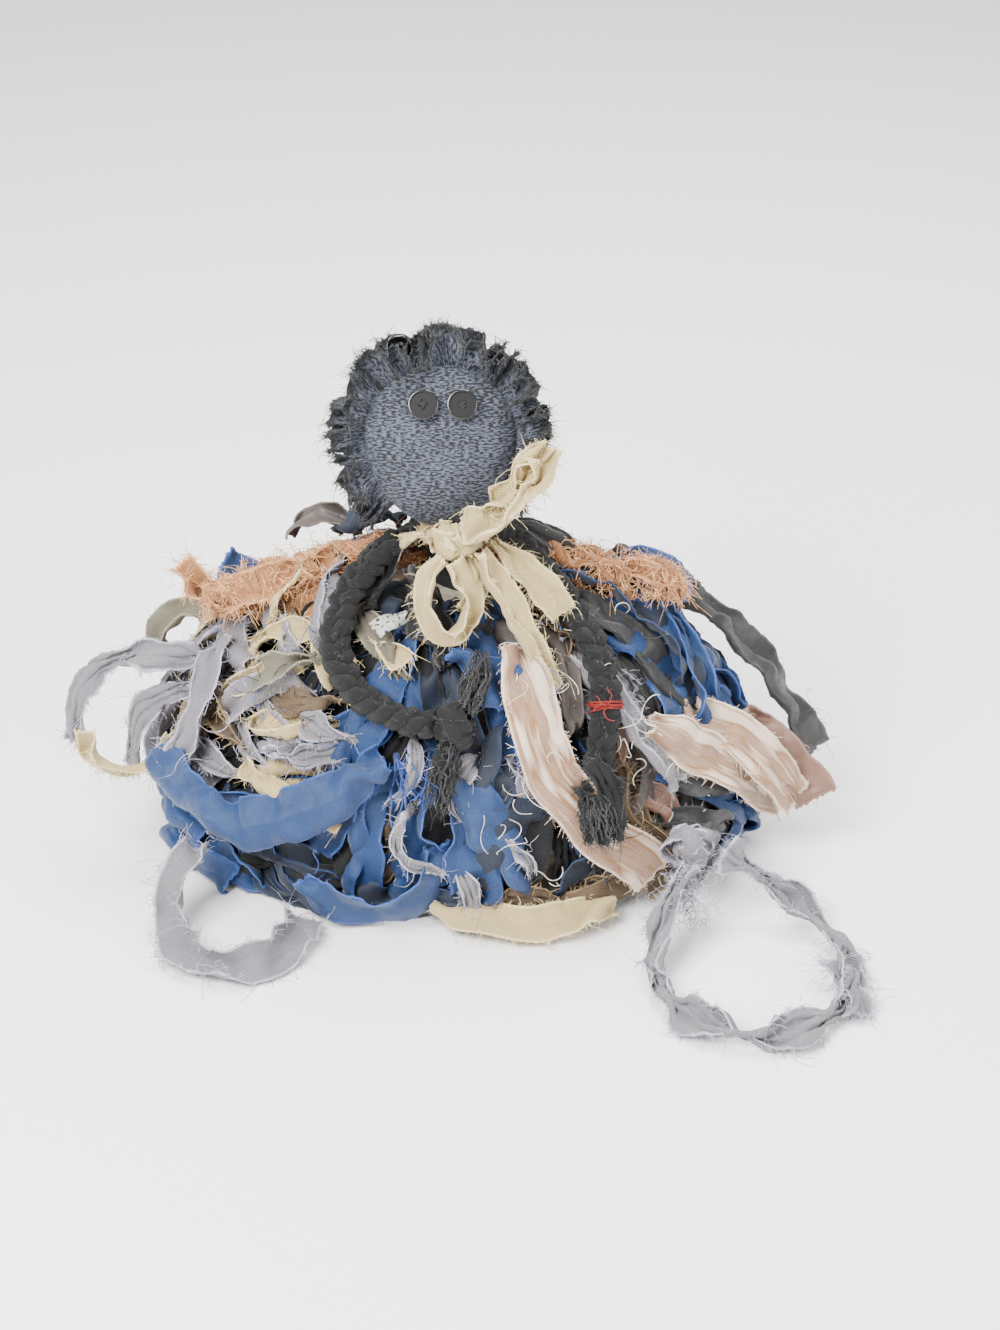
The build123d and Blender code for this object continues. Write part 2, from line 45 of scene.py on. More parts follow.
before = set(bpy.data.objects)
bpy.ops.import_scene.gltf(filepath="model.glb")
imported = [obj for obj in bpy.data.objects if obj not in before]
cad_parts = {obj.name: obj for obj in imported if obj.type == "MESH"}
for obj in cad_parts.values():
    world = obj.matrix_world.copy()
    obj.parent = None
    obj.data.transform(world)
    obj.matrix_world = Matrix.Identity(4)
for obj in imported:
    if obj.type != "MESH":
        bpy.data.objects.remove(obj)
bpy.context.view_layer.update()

MM = 0.001
BAG_LOW, BAG_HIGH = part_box("body_bag")
HALF_WIDTH = BAG_HIGH.x / MM
HALF_DEPTH = BAG_HIGH.y / MM
HALF_HEIGHT = BAG_HIGH.z / MM
BASE_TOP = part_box("base_panel")[1].z / MM
FLOOR_CLEARANCE = 0.8

# Levels on the body that strips run between, as the CAD has them
SHOULDER = 0.82 * HALF_HEIGHT
CHEST = 0.70 * HALF_HEIGHT
WAIST = 0.55 * HALF_HEIGHT
HIP = 0.37 * HALF_HEIGHT
HEM = 0.14 * HALF_HEIGHT
WIRE_HEIGHT = HALF_HEIGHT + 10
FIRST_LAYER = 1.6
LAYER_PITCH = 4.0
PUFF = 7.0


def middle(part):
    """Middle of a CAD node's box, in millimetres."""
    low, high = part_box(part)
    return np.array((low + high) / 2) / MM


KNOT = middle("scarf_knot")
RIGHT_KNOT = middle("right_loop_knot")


# ---------------------------------------------------------------- colours and sizes a user may change


def linear(code):
    """Scene-linear colour of a six-digit sRGB code."""
    levels = [int(code[i : i + 2], 16) / 255 for i in (0, 2, 4)]
    return tuple(v / 12.92 if v <= 0.04045 else ((v + 0.055) / 1.055) ** 2.4 for v in levels)


DYE_SHARE = 0.28
DYE_SHOULDER = 0.8


def dyed(code):
    """Colour of a cloth deep enough to look like the code under a light strong enough for a white floor."""
    return tuple(DYE_SHARE * level / (1 - DYE_SHOULDER * level) for level in linear(code))


def colour_property(name, code, description, colour=dyed):
    return bpy.props.FloatVectorProperty(
        name=name, description=description, subtype="COLOR", size=3, min=0.0, max=1.0, default=colour(code)
    )


class RagColours(bpy.types.PropertyGroup):
    royal_blue: colour_property("Royal blue", "0B5A98", "Lit face of the blue strips")
    # Darker copy of the royal blue, in the same slot: painted shade for blue strips deep in the heap and in its folds
    deep_blue: colour_property("Deep blue", "082E52", "Blue strips that lie deep in the heap")
    light_grey: colour_property("Light grey", "B2AFB1", "Herringbone strips")
    cream_twill: colour_property("Cream", "DFD3AC", "Scarf and cream strips")
    peach_cloth: colour_property("Peach", "D4AE80", "Torn cloth on the arms")
    charcoal_denim: colour_property("Charcoal denim", "868C9C", "Light yarns of the head's denim")
    blush_brocade: colour_property("Blush brocade", "CBB096", "Ground of the brocade strips")
    blush_satin: colour_property("Blush satin", "B5917D", "Blush satin strips")
    taupe_satin: colour_property("Taupe satin", "84776F", "Taupe satin curls")
    black_lining: colour_property("Black lining", "0F0F0C", "Dark lining over the right shoulder")
    olive_cloth: colour_property("Olive", "A9A48F", "Olive grey loop and scraps")
    tan_cloth: colour_property("Tan", "9C8464", "Tan scraps")
    # Near-black bag: partly the bag's own dark cloth, partly painted shade so the gaps between strips read dark
    dark_cloth: colour_property("Dark cloth", "14171C", "Stuffed bag under the strips")
    black_yarn: colour_property("Black yarn", "0E0E10", "Braids and tassels")
    floor: colour_property("Floor", "FBFBFA", "Studio floor", linear)


class RagSizes(bpy.types.PropertyGroup):
    cloth_thickness: bpy.props.FloatProperty(
        name="Cloth thickness", description="Thickness of every strip", default=0.0007, min=0.0002, unit="LENGTH"
    )
    row_length: bpy.props.FloatProperty(
        name="Row length", description="Length of one row of a strip's mesh", default=0.0022, min=0.001, unit="LENGTH"
    )
    thread_radius: bpy.props.FloatProperty(
        name="Thread radius", description="Radius of a frayed thread", default=0.00016, min=0.00005, unit="LENGTH"
    )
    fray: bpy.props.FloatProperty(
        name="Fray", description="Length of the frayed edges, as a factor", default=1.0, min=0.0, subtype="FACTOR"
    )
    braid_width: bpy.props.FloatProperty(
        name="Braid width", description="Width of a braid", default=0.015, min=0.006, unit="LENGTH"
    )


class RagStage(bpy.types.PropertyGroup):
    distance: bpy.props.FloatProperty(
        name="Camera distance", description="From the middle of the figure", default=1.6, min=0.3, unit="LENGTH"
    )
    elevation: bpy.props.FloatProperty(
        name="Camera elevation", description="Above the horizon", default=math.radians(30), unit="ROTATION"
    )
    lens: bpy.props.FloatProperty(
        name="Focal length", description="In millimetres", default=83.3, min=10.0, unit="CAMERA"
    )
    key_power: bpy.props.FloatProperty(
        name="Key light", description="Power of the large soft light", default=78.0, min=0.0, unit="POWER"
    )


# ---------------------------------------------------------------- node groups


def node(tree, kind, place=(0, 0), **values):
    made = tree.nodes.new(kind)
    made.location = place
    for key, value in values.items():
        setattr(made, key, value)
    return made


def maths(tree, operation, first, second=None, clamp=False):
    """Math node on two values, each a socket or a number."""
    made = node(tree, "ShaderNodeMath", operation=operation, use_clamp=clamp)
    for socket, value in zip(made.inputs, (first, second)):
        if isinstance(value, bpy.types.NodeSocket):
            tree.links.new(value, socket)
        elif value is not None:
            socket.default_value = value
    return made.outputs[0]


def mixed(tree, share, first, second, blend="MIX"):
    """Colour mix of two colours by a share, each a socket or a value."""
    made = node(tree, "ShaderNodeMix", data_type="RGBA", blend_type=blend)
    for socket, value in ((made.inputs[0], share), (made.inputs[6], first), (made.inputs[7], second)):
        if isinstance(value, bpy.types.NodeSocket):
            tree.links.new(value, socket)
        else:
            socket.default_value = value
    return made.outputs[2]


def noise_value(tree, vector, scale, detail=2.0, stretch=None):
    """Fine noise on coordinates, stretched along axes if asked."""
    if stretch is not None:
        mapping = node(tree, "ShaderNodeMapping")
        mapping.inputs["Scale"].default_value = stretch
        tree.links.new(vector, mapping.inputs["Vector"])
        vector = mapping.outputs[0]
    made = node(tree, "ShaderNodeTexNoise")
    made.inputs["Scale"].default_value = scale
    made.inputs["Detail"].default_value = detail
    tree.links.new(vector, made.inputs["Vector"])
    return made.outputs["Fac"]


def ranged(tree, value, low, high):
    """Value mapped from low..high to 0..1 and clamped."""
    made = node(tree, "ShaderNodeMapRange", clamp=True)
    tree.links.new(value, made.inputs["Value"])
    made.inputs["From Min"].default_value = low
    made.inputs["From Max"].default_value = high
    return made.outputs[0]


def new_group(name, inputs, outputs):
    """Empty shader node group with named sockets."""
    group = bpy.data.node_groups.new(name, "ShaderNodeTree")
    for label, kind, value in inputs:
        socket = group.interface.new_socket(name=label, in_out="INPUT", socket_type=kind)
        if value is not None:
            socket.default_value = value
    for label, kind in outputs:
        group.interface.new_socket(name=label, in_out="OUTPUT", socket_type=kind)
    return group, node(group, "NodeGroupInput"), node(group, "NodeGroupOutput")


def woven_group():
    """Twill or herringbone cloth with worn edges, dusty patches, stray light fibres, and painted shade in the rib
    grooves.
    """
    name = "Woven cloth"
    if name in bpy.data.node_groups:
        return bpy.data.node_groups[name]
    group, given, result = new_group(
        name,
        [
            ("Flat", "NodeSocketVector", None),
            ("Place", "NodeSocketVector", None),
            ("Edge", "NodeSocketFloat", 1.0),
            ("Face", "NodeSocketColor", (0.5, 0.5, 0.5, 1)),
            ("Shade", "NodeSocketColor", (0.2, 0.2, 0.2, 1)),
            ("Fibre", "NodeSocketColor", (0.8, 0.8, 0.8, 1)),
            ("Ribs per metre", "NodeSocketFloat", 650.0),
            ("Herringbone ribs", "NodeSocketFloat", 1000.0),
            ("Rib depth", "NodeSocketFloat", 0.3),
            ("Patches", "NodeSocketFloat", 0.4),
            ("Fibres", "NodeSocketFloat", 0.2),
            ("Edge wear", "NodeSocketFloat", 0.4),
        ],
        [("Color", "NodeSocketColor"), ("Height", "NodeSocketFloat")],
    )
    scaled = node(group, "ShaderNodeVectorMath", operation="SCALE")
    group.links.new(given.outputs["Flat"], scaled.inputs[0])
    group.links.new(given.outputs["Ribs per metre"], scaled.inputs["Scale"])
    split = node(group, "ShaderNodeSeparateXYZ")
    group.links.new(scaled.outputs[0], split.inputs[0])
    zigzag = maths(group, "PINGPONG", split.outputs["X"], given.outputs["Herringbone ribs"])
    waver = noise_value(group, given.outputs["Place"], 160.0, 1.0)
    slant = maths(group, "ADD", maths(group, "ADD", zigzag, split.outputs["Y"]), maths(group, "MULTIPLY", waver, 1.2))
    wave = maths(group, "SINE", maths(group, "MULTIPLY", slant, 2 * math.pi))
    rib = maths(group, "MULTIPLY_ADD", wave, 0.5)
    rib.node.inputs[2].default_value = 0.5
    fine = noise_value(group, given.outputs["Place"], 1700.0, 2.0)
    patchy = ranged(group, noise_value(group, given.outputs["Place"], 38.0, 4.0), 0.35, 0.7)
    colour = mixed(
        group,
        maths(group, "MULTIPLY", patchy, given.outputs["Patches"]),
        given.outputs["Face"],
        given.outputs["Shade"],
    )
    # Darker in the rib grooves: painted shade, which also draws the weave's lines
    groove_shade = maths(group, "MULTIPLY", maths(group, "SUBTRACT", 1.0, rib), given.outputs["Rib depth"])
    colour = mixed(group, groove_shade, colour, given.outputs["Shade"])
    stray = ranged(group, fine, 0.56, 0.72)
    colour = mixed(group, maths(group, "MULTIPLY", stray, given.outputs["Fibres"]), colour, given.outputs["Fibre"])
    ragged = maths(
        group, "ADD", given.outputs["Edge"], maths(group, "MULTIPLY", noise_value(group, given.outputs["Place"], 420.0), 1.6)
    )
    worn = maths(group, "SUBTRACT", 1.0, ranged(group, ragged, 0.8, 2.2))
    colour = mixed(group, maths(group, "MULTIPLY", worn, given.outputs["Edge wear"]), colour, given.outputs["Fibre"])
    height = maths(group, "ADD", maths(group, "MULTIPLY", rib, 0.6), maths(group, "MULTIPLY", fine, 0.5))
    group.links.new(colour, result.inputs["Color"])
    group.links.new(height, result.inputs["Height"])
    return group


def fleck_group():
    """Short light and dark yarn flecks of salt-and-pepper denim."""
    name = "Denim flecks"
    if name in bpy.data.node_groups:
        return bpy.data.node_groups[name]
    group, given, result = new_group(
        name,
        [
            ("Flat", "NodeSocketVector", None),
            ("Light", "NodeSocketColor", (0.5, 0.5, 0.5, 1)),
            ("Dark", "NodeSocketColor", (0.02, 0.02, 0.02, 1)),
        ],
        [("Color", "NodeSocketColor"), ("Height", "NodeSocketFloat")],
    )
    dashes = noise_value(group, given.outputs["Flat"], 1.0, 2.0, (420.0, 1200.0, 700.0))
    dust = noise_value(group, given.outputs["Flat"], 60.0, 3.0)
    share = ranged(group, maths(group, "ADD", dashes, maths(group, "MULTIPLY", dust, 0.18)), 0.53, 0.67)
    group.links.new(mixed(group, share, given.outputs["Dark"], given.outputs["Light"]), result.inputs["Color"])
    group.links.new(dashes, result.inputs["Height"])
    return group


def streak_group():
    """Gold and white warp floats that run along a brocade strip."""
    name = "Brocade streaks"
    if name in bpy.data.node_groups:
        return bpy.data.node_groups[name]
    group, given, result = new_group(
        name,
        [
            ("Flat", "NodeSocketVector", None),
            ("Ground", "NodeSocketColor", (0.5, 0.4, 0.3, 1)),
            ("Gold", "NodeSocketColor", (0.6, 0.4, 0.1, 1)),
            ("White", "NodeSocketColor", (0.9, 0.9, 0.85, 1)),
        ],
        [("Color", "NodeSocketColor")],
    )
    wide = noise_value(group, given.outputs["Flat"], 1.0, 2.0, (120.0, 16.0, 1.0))
    thin = noise_value(group, given.outputs["Flat"], 1.0, 2.0, (520.0, 30.0, 1.0))
    colour = mixed(group, ranged(group, wide, 0.50, 0.60), given.outputs["Ground"], given.outputs["White"])
    band = ranged(group, maths(group, "ABSOLUTE", maths(group, "SUBTRACT", wide, 0.5)), 0.035, 0.0)
    colour = mixed(group, maths(group, "MULTIPLY", band, 0.9), colour, given.outputs["Gold"])
    colour = mixed(group, maths(group, "MULTIPLY", ranged(group, thin, 0.55, 0.68), 0.5), colour, given.outputs["White"])
    group.links.new(colour, result.inputs["Color"])
    return group


def grouped(tree, group, **values):
    """Group node in a material, its inputs linked from sockets or set to values."""
    made = node(tree, "ShaderNodeGroup", node_tree=group)
    for key, value in values.items():
        socket = made.inputs[key.replace("_", " ")]
        if isinstance(value, bpy.types.NodeSocket):
            tree.links.new(value, socket)
        else:
            socket.default_value = value
    return made


# ---------------------------------------------------------------- materials

# Each cloth: record slot, shade and fibre colours, ribs per metre, herringbone band in ribs,
# painted shade in the rib grooves, patches, fibres, edge wear, roughness, sheen
CLOTHS = {
    "royal_blue": ("royal_blue", "0A3C7C", "78B2EC", 900, 1000, 0.3, 0.42, 0.16, 0.35, 0.55, 0.12),
    # Darker copy of royal blue: painted shade, not a second dye
    "deep_blue": ("royal_blue", "061B38", "3D78B8", 900, 1000, 0.3, 0.6, 0.1, 0.3, 0.6, 0.1),
    "light_grey": ("light_grey", "8B8792", "E9E8EF", 620, 6, 0.42, 0.35, 0.22, 0.55, 0.85, 0.15),
    "cream_twill": ("cream_twill", "B5A67C", "F6F1DC", 560, 1000, 0.34, 0.35, 0.2, 0.5, 0.85, 0.15),
    "peach_cloth": ("peach_cloth", "9B6333", "F3DCB6", 620, 8, 0.45, 0.55, 0.3, 0.6, 0.9, 0.1),
    "blush_satin": ("blush_satin", "8C6A58", "E0C9BC", 1500, 1000, 0.12, 0.4, 0.1, 0.4, 0.38, 0.1),
    "taupe_satin": ("taupe_satin", "4A413D", "BBB0AA", 1500, 1000, 0.12, 0.5, 0.1, 0.4, 0.36, 0.1),
    "black_lining": ("black_lining", "070706", "5A5A50", 1300, 1000, 0.3, 0.4, 0.1, 0.25, 0.5, 0.2),
    "olive_cloth": ("olive_cloth", "5E5848", "DAD6C4", 700, 1000, 0.3, 0.6, 0.2, 0.4, 0.8, 0.15),
    "tan_cloth": ("olive_cloth", "4A3B28", "CDBB98", 700, 1000, 0.4, 0.7, 0.3, 0.5, 0.85, 0.1),
    # Near-black bag cloth: partly its own colour, partly painted shade in the gaps
    "dark_cloth": ("dark_cloth", "050608", "2E3744", 700, 1000, 0.3, 0.6, 0.15, 0.2, 0.85, 0.1),
    "black_yarn": ("black_yarn", "050506", "2C2C31", 800, 1000, 0.3, 0.5, 0.15, 0.3, 0.9, 0.05),
}

# Slots whose CAD nodes or pieces need no cloth: colour, roughness, metallic, grain scale, bump
PLAIN_FINISHES = {
    "stuffing": ("DAD4C8", 0.95, 0.0, 260.0, 0.4),
    "wood": ("A77B4E", 0.6, 0.0, 120.0, 0.2),
    "wire": ("7C7D80", 0.35, 1.0, 700.0, 0.05),
    "red_thread": ("C8402F", 0.7, 0.0, 1500.0, 0.4),
    "black_thread": ("1A1A1E", 0.6, 0.0, 2500.0, 0.4),
    "black_button": ("0B0B0D", 0.22, 0.0, 90.0, 0.02),
    "white_thread": ("EDEBE6", 0.7, 0.0, 1800.0, 0.3),
    "blue_thread": ("2D67AE", 0.7, 0.0, 1800.0, 0.3),
}


def fresh_material(name):
    made = bpy.data.materials.new(name)
    made.use_nodes = True
    return made, made.node_tree, made.node_tree.nodes["Principled BSDF"]


def rgba(code):
    return (*dyed(code), 1.0)


def bumped(tree, shader, height, strength, distance):
    bump = node(tree, "ShaderNodeBump")
    bump.inputs["Strength"].default_value = strength
    bump.inputs["Distance"].default_value = distance
    tree.links.new(height, bump.inputs["Height"])
    tree.links.new(bump.outputs[0], shader.inputs["Normal"])


def cloth_material(kind):
    """Material of one of the woven cloths, made once, under a name that the CAD's plain material doesn't have."""
    name = "woven_" + kind
    if name in bpy.data.materials:
        return bpy.data.materials[name]
    # depth is the share of painted shade in the rib grooves
    _, shade, fibre, ribs, band, depth, patches, fibres, wear, roughness, sheen = CLOTHS[kind]
    made, tree, shader = fresh_material(name)
    flat = node(tree, "ShaderNodeUVMap", uv_map="flat").outputs[0]
    edge = node(tree, "ShaderNodeAttribute", attribute_name="edge").outputs["Fac"]
    place = node(tree, "ShaderNodeTexCoord").outputs["Object"]
    woven = grouped(
        tree,
        woven_group(),
        Flat=flat,
        Place=place,
        Edge=edge,
        Face=(*getattr(bpy.context.scene.rag_colours, kind), 1.0),
        Shade=rgba(shade),
        Fibre=rgba(fibre),
        Ribs_per_metre=ribs,
        Herringbone_ribs=band,
        Rib_depth=depth,
        Patches=patches,
        Fibres=fibres,
        Edge_wear=wear,
    )
    tree.links.new(woven.outputs["Color"], shader.inputs["Base Color"])
    bumped(tree, shader, woven.outputs["Height"], 0.55, 0.0006)
    shader.inputs["Roughness"].default_value = roughness
    shader.inputs["Sheen Weight"].default_value = sheen
    shader.inputs["Sheen Roughness"].default_value = 0.5
    return made


def brocade_material():
    """Blush brocade with gold and white floats."""
    if "woven_brocade" in bpy.data.materials:
        return bpy.data.materials["woven_brocade"]
    made, tree, shader = fresh_material("woven_brocade")
    flat = node(tree, "ShaderNodeUVMap", uv_map="flat").outputs[0]
    edge = node(tree, "ShaderNodeAttribute", attribute_name="edge").outputs["Fac"]
    place = node(tree, "ShaderNodeTexCoord").outputs["Object"]
    streaks = grouped(
        tree,
        streak_group(),
        Flat=flat,
        Ground=(*bpy.context.scene.rag_colours.blush_brocade, 1.0),
        Gold=rgba("C2922F"),
        White=rgba("EEE6DC"),
    )
    woven = grouped(
        tree,
        woven_group(),
        Flat=flat,
        Place=place,
        Edge=edge,
        Face=streaks.outputs["Color"],
        Shade=rgba("8F735E"),
        Fibre=rgba("F4EEE6"),
        Ribs_per_metre=620.0,
        Herringbone_ribs=9.0,
        # Share of painted shade in the rib grooves
        Rib_depth=0.3,
        Patches=0.2,
        Fibres=0.15,
        Edge_wear=0.7,
    )
    tree.links.new(woven.outputs["Color"], shader.inputs["Base Color"])
    bumped(tree, shader, woven.outputs["Height"], 0.4, 0.0005)
    shader.inputs["Roughness"].default_value = 0.45
    shader.inputs["Sheen Weight"].default_value = 0.2
    return made


def denim_material():
    """Salt-and-pepper denim of the head, dark along its raw edges."""
    if "woven_denim" in bpy.data.materials:
        return bpy.data.materials["woven_denim"]
    made, tree, shader = fresh_material("woven_denim")
    flat = node(tree, "ShaderNodeUVMap", uv_map="flat").outputs[0]
    edge = node(tree, "ShaderNodeAttribute", attribute_name="edge").outputs["Fac"]
    place = node(tree, "ShaderNodeTexCoord").outputs["Object"]
    flecks = grouped(
        tree,
        fleck_group(),
        Flat=flat,
        Light=(*bpy.context.scene.rag_colours.charcoal_denim, 1.0),
        Dark=rgba("24262D"),
    )
    ragged = maths(tree, "ADD", edge, maths(tree, "MULTIPLY", noise_value(tree, place, 300.0), 5.0))
    raw = maths(tree, "SUBTRACT", 1.0, ranged(tree, ragged, 3.6, 9.0))
    colour = mixed(tree, maths(tree, "MULTIPLY", raw, 0.92), flecks.outputs["Color"], rgba("0E0F12"))
    tree.links.new(colour, shader.inputs["Base Color"])
    bumped(tree, shader, flecks.outputs["Height"], 0.8, 0.0009)
    shader.inputs["Roughness"].default_value = 0.88
    shader.inputs["Sheen Weight"].default_value = 0.06
    return made


def tag_material():
    """Pale woven tag with a plain dark grid of blocks."""
    made, tree, shader = fresh_material("tag_weave")
    flat = node(tree, "ShaderNodeUVMap", uv_map="flat").outputs[0]
    blocks = node(tree, "ShaderNodeTexVoronoi", feature="DISTANCE_TO_EDGE")
    blocks.inputs["Scale"].default_value = 330.0
    tree.links.new(flat, blocks.inputs["Vector"])
    colour = mixed(tree, ranged(tree, blocks.outputs[0], 0.16, 0.3), rgba("D8D8D4"), rgba("4A4C50"))
    tree.links.new(colour, shader.inputs["Base Color"])
    bumped(tree, shader, blocks.outputs[0], 0.3, 0.0003)
    shader.inputs["Roughness"].default_value = 0.6
    return made


def plain_material(kind):
    """Material of a finish that isn't woven cloth, with fine grain."""
    name = "finish_" + kind
    if name in bpy.data.materials:
        return bpy.data.materials[name]
    code, roughness, metallic, scale, bump = PLAIN_FINISHES[kind]
    made, tree, shader = fresh_material(name)
    place = node(tree, "ShaderNodeTexCoord").outputs["Object"]
    stretch = (1.0, 1.0, 0.12) if kind == "wood" else None
    grain = noise_value(tree, place, scale, 3.0, stretch)
    base = rgba(code)
    dark = (base[0] * 0.6, base[1] * 0.6, base[2] * 0.6, 1.0)
    tree.links.new(mixed(tree, ranged(tree, grain, 0.35, 0.65), dark, base), shader.inputs["Base Color"])
    bumped(tree, shader, grain, bump, 0.0005)
    shader.inputs["Roughness"].default_value = roughness
    shader.inputs["Metallic"].default_value = metallic
    if kind == "black_button":
        shader.inputs["Coat Weight"].default_value = 1.0
        shader.inputs["Coat Roughness"].default_value = 0.05
    return made


def thread_material(kind):
    """Fuzzy thread in the fibre colour of a cloth."""
    name = "threads_" + kind
    if name in bpy.data.materials:
        return bpy.data.materials[name]
    made, tree, shader = fresh_material(name)
    place = node(tree, "ShaderNodeTexCoord").outputs["Object"]
    light, dark = THREADS[kind]
    share = ranged(tree, noise_value(tree, place, 220.0, 2.0), 0.35, 0.65)
    tree.links.new(mixed(tree, share, rgba(dark), rgba(light)), shader.inputs["Base Color"])
    shader.inputs["Roughness"].default_value = 0.8
    shader.inputs["Sheen Weight"].default_value = 0.3
    return made


# Light and dark colour of each cloth's frayed threads
THREADS = {
    "royal_blue": ("3D85D6", "0E4690"),
    # Threads of the darker copy of royal blue: painted shade
    "deep_blue": ("225A9C", "0A2B55"),
    "light_grey": ("DEDCE4", "98949E"),
    "cream_twill": ("F1EBD2", "C2B488"),
    "peach_cloth": ("F2DDB6", "CB9A62"),
    "charcoal_denim": ("3A3D45", "0B0C0E"),
    "blush_brocade": ("F2EADF", "CDB193"),
    "blush_satin": ("E0C9BC", "A58570"),
    "taupe_satin": ("B0A49E", "6A5F5A"),
    "black_lining": ("22221D", "090908"),
    "olive_cloth": ("DAD6C4", "8C8672"),
    "tan_cloth": ("DCC9A4", "8E7450"),
    "dark_cloth": ("22262E", "0A0C10"),
    "black_yarn": ("1A1A1D", "070708"),
    "white": ("F4F2EE", "D6D2CA"),
}


def dress(piece, kind):
    """Give a piece the material of a cloth."""
    if kind == "blush_brocade":
        piece.data.materials.append(brocade_material())
    elif kind == "charcoal_denim":
        piece.data.materials.append(denim_material())
    elif kind == "woven_tag":
        piece.data.materials.append(tag_material())
    else:
        piece.data.materials.append(cloth_material(kind))


# ---------------------------------------------------------------- lines and directions


def seeded(name):
    """Random numbers that are the same each run for the same piece."""
    return np.random.default_rng(sum((i + 1) * ord(c) for i, c in enumerate(name)))


def unit(vectors):
    return vectors / np.maximum(np.linalg.norm(vectors, axis=-1, keepdims=True), 1e-9)


def smooth(controls, steps=14):
    """Rows on a smooth line through the control rows."""
    rows = np.array(controls, float)
    if len(rows) == 2:
        share = np.linspace(0, 1, steps + 1)[:, None]
        return rows[0] * (1 - share) + rows[1] * share
    padded = np.vstack([2 * rows[0] - rows[1], rows, 2 * rows[-1] - rows[-2]])
    found = []
    for i in range(1, len(padded) - 2):
        a, b, c, d = padded[i - 1 : i + 3]
        for t in np.arange(steps) / steps:
            found.append(
                0.5 * (2 * b + (c - a) * t + (2 * a - 5 * b + 4 * c - d) * t**2 + (3 * b - a - 3 * c + d) * t**3)
            )
    found.append(rows[-1])
    return np.array(found)


def evenly(points, step, *others):
    """Points spaced evenly along their line, with the other rows carried along."""
    arc = np.concatenate([[0], np.cumsum(np.linalg.norm(np.diff(points, axis=0), axis=1))])
    count = max(6, int(round(arc[-1] / step)))
    at = np.linspace(0, arc[-1], count + 1)
    return [np.stack([np.interp(at, arc, part[:, k]) for k in range(part.shape[1])], axis=1) for part in (points, *others)]


def over_body(rows):
    """Points and outward directions at bearings, heights and standoffs over the stuffed body."""
    turn = np.radians(rows[:, 0])
    high = np.clip(rows[:, 1], 0, 0.97 * HALF_HEIGHT)
    shrink = np.sqrt(1 - (high / HALF_HEIGHT) ** 2)
    points = np.stack([HALF_WIDTH * shrink * np.sin(turn), -HALF_DEPTH * shrink * np.cos(turn), high], axis=1)
    out = unit(points / np.array([HALF_WIDTH, HALF_DEPTH, HALF_HEIGHT]) ** 2)
    return points + out * rows[:, 2:3], out


def drift(at, rng, wavelength, size):
    """Slow random swing along a line."""
    total = np.zeros_like(at)
    for share in (1.0, 0.6, 0.37):
        total += share * np.sin(2 * np.pi * (at / (wavelength * share * rng.uniform(0.8, 1.2)) + rng.uniform()))
    return size * total / 1.6


def ripple(x, y, rng, wavelength, size, waves=6):
    """Random ripples over a surface."""
    total = np.zeros(np.broadcast(x, y).shape)
    for _ in range(waves):
        heading = rng.uniform(0, np.pi)
        length = wavelength * rng.uniform(0.6, 1.5)
        phase = rng.uniform(0, 2 * np.pi)
        total += np.sin(2 * np.pi * (x * np.cos(heading) + y * np.sin(heading)) / length + phase)
    return size * total / math.sqrt(waves)


def gate(x):
    """Smooth step from 0 to 1."""
    x = np.clip(x, 0, 1)
    return x * x * (3 - 2 * x)


# ---------------------------------------------------------------- cloth

# How a strip lies: curl of its edges, pleat swing and count, folded share, billow, wrinkle
LIES = {
    "flat": (0.25, 0.22, 1, 0.0, 1.0, 0.22),
    "soft": (0.5, 0.45, 2, 0.0, 1.6, 0.3),
    "cupped": (1.25, 0.3, 1, 0.0, 1.4, 0.3),
    "arched": (-0.9, 0.35, 1, 0.0, 1.4, 0.3),
    "folded": (0.2, 0.3, 1, 0.36, 1.2, 0.25),
    "rolled": (2.7, 0.4, 1, 0.0, 0.8, 0.25),
    "gathered": (0.3, 1.15, 3, 0.0, 1.4, 0.35),
    "bunched": (0.8, 1.5, 3, 0.0, 1.6, 0.4),
}


class Cloth:
    """Grid of points of a piece of cloth, in millimetres, before it becomes a mesh."""

    def __init__(self, grid, flat, edge):
        self.grid = grid
        self.flat = flat
        self.edge = edge


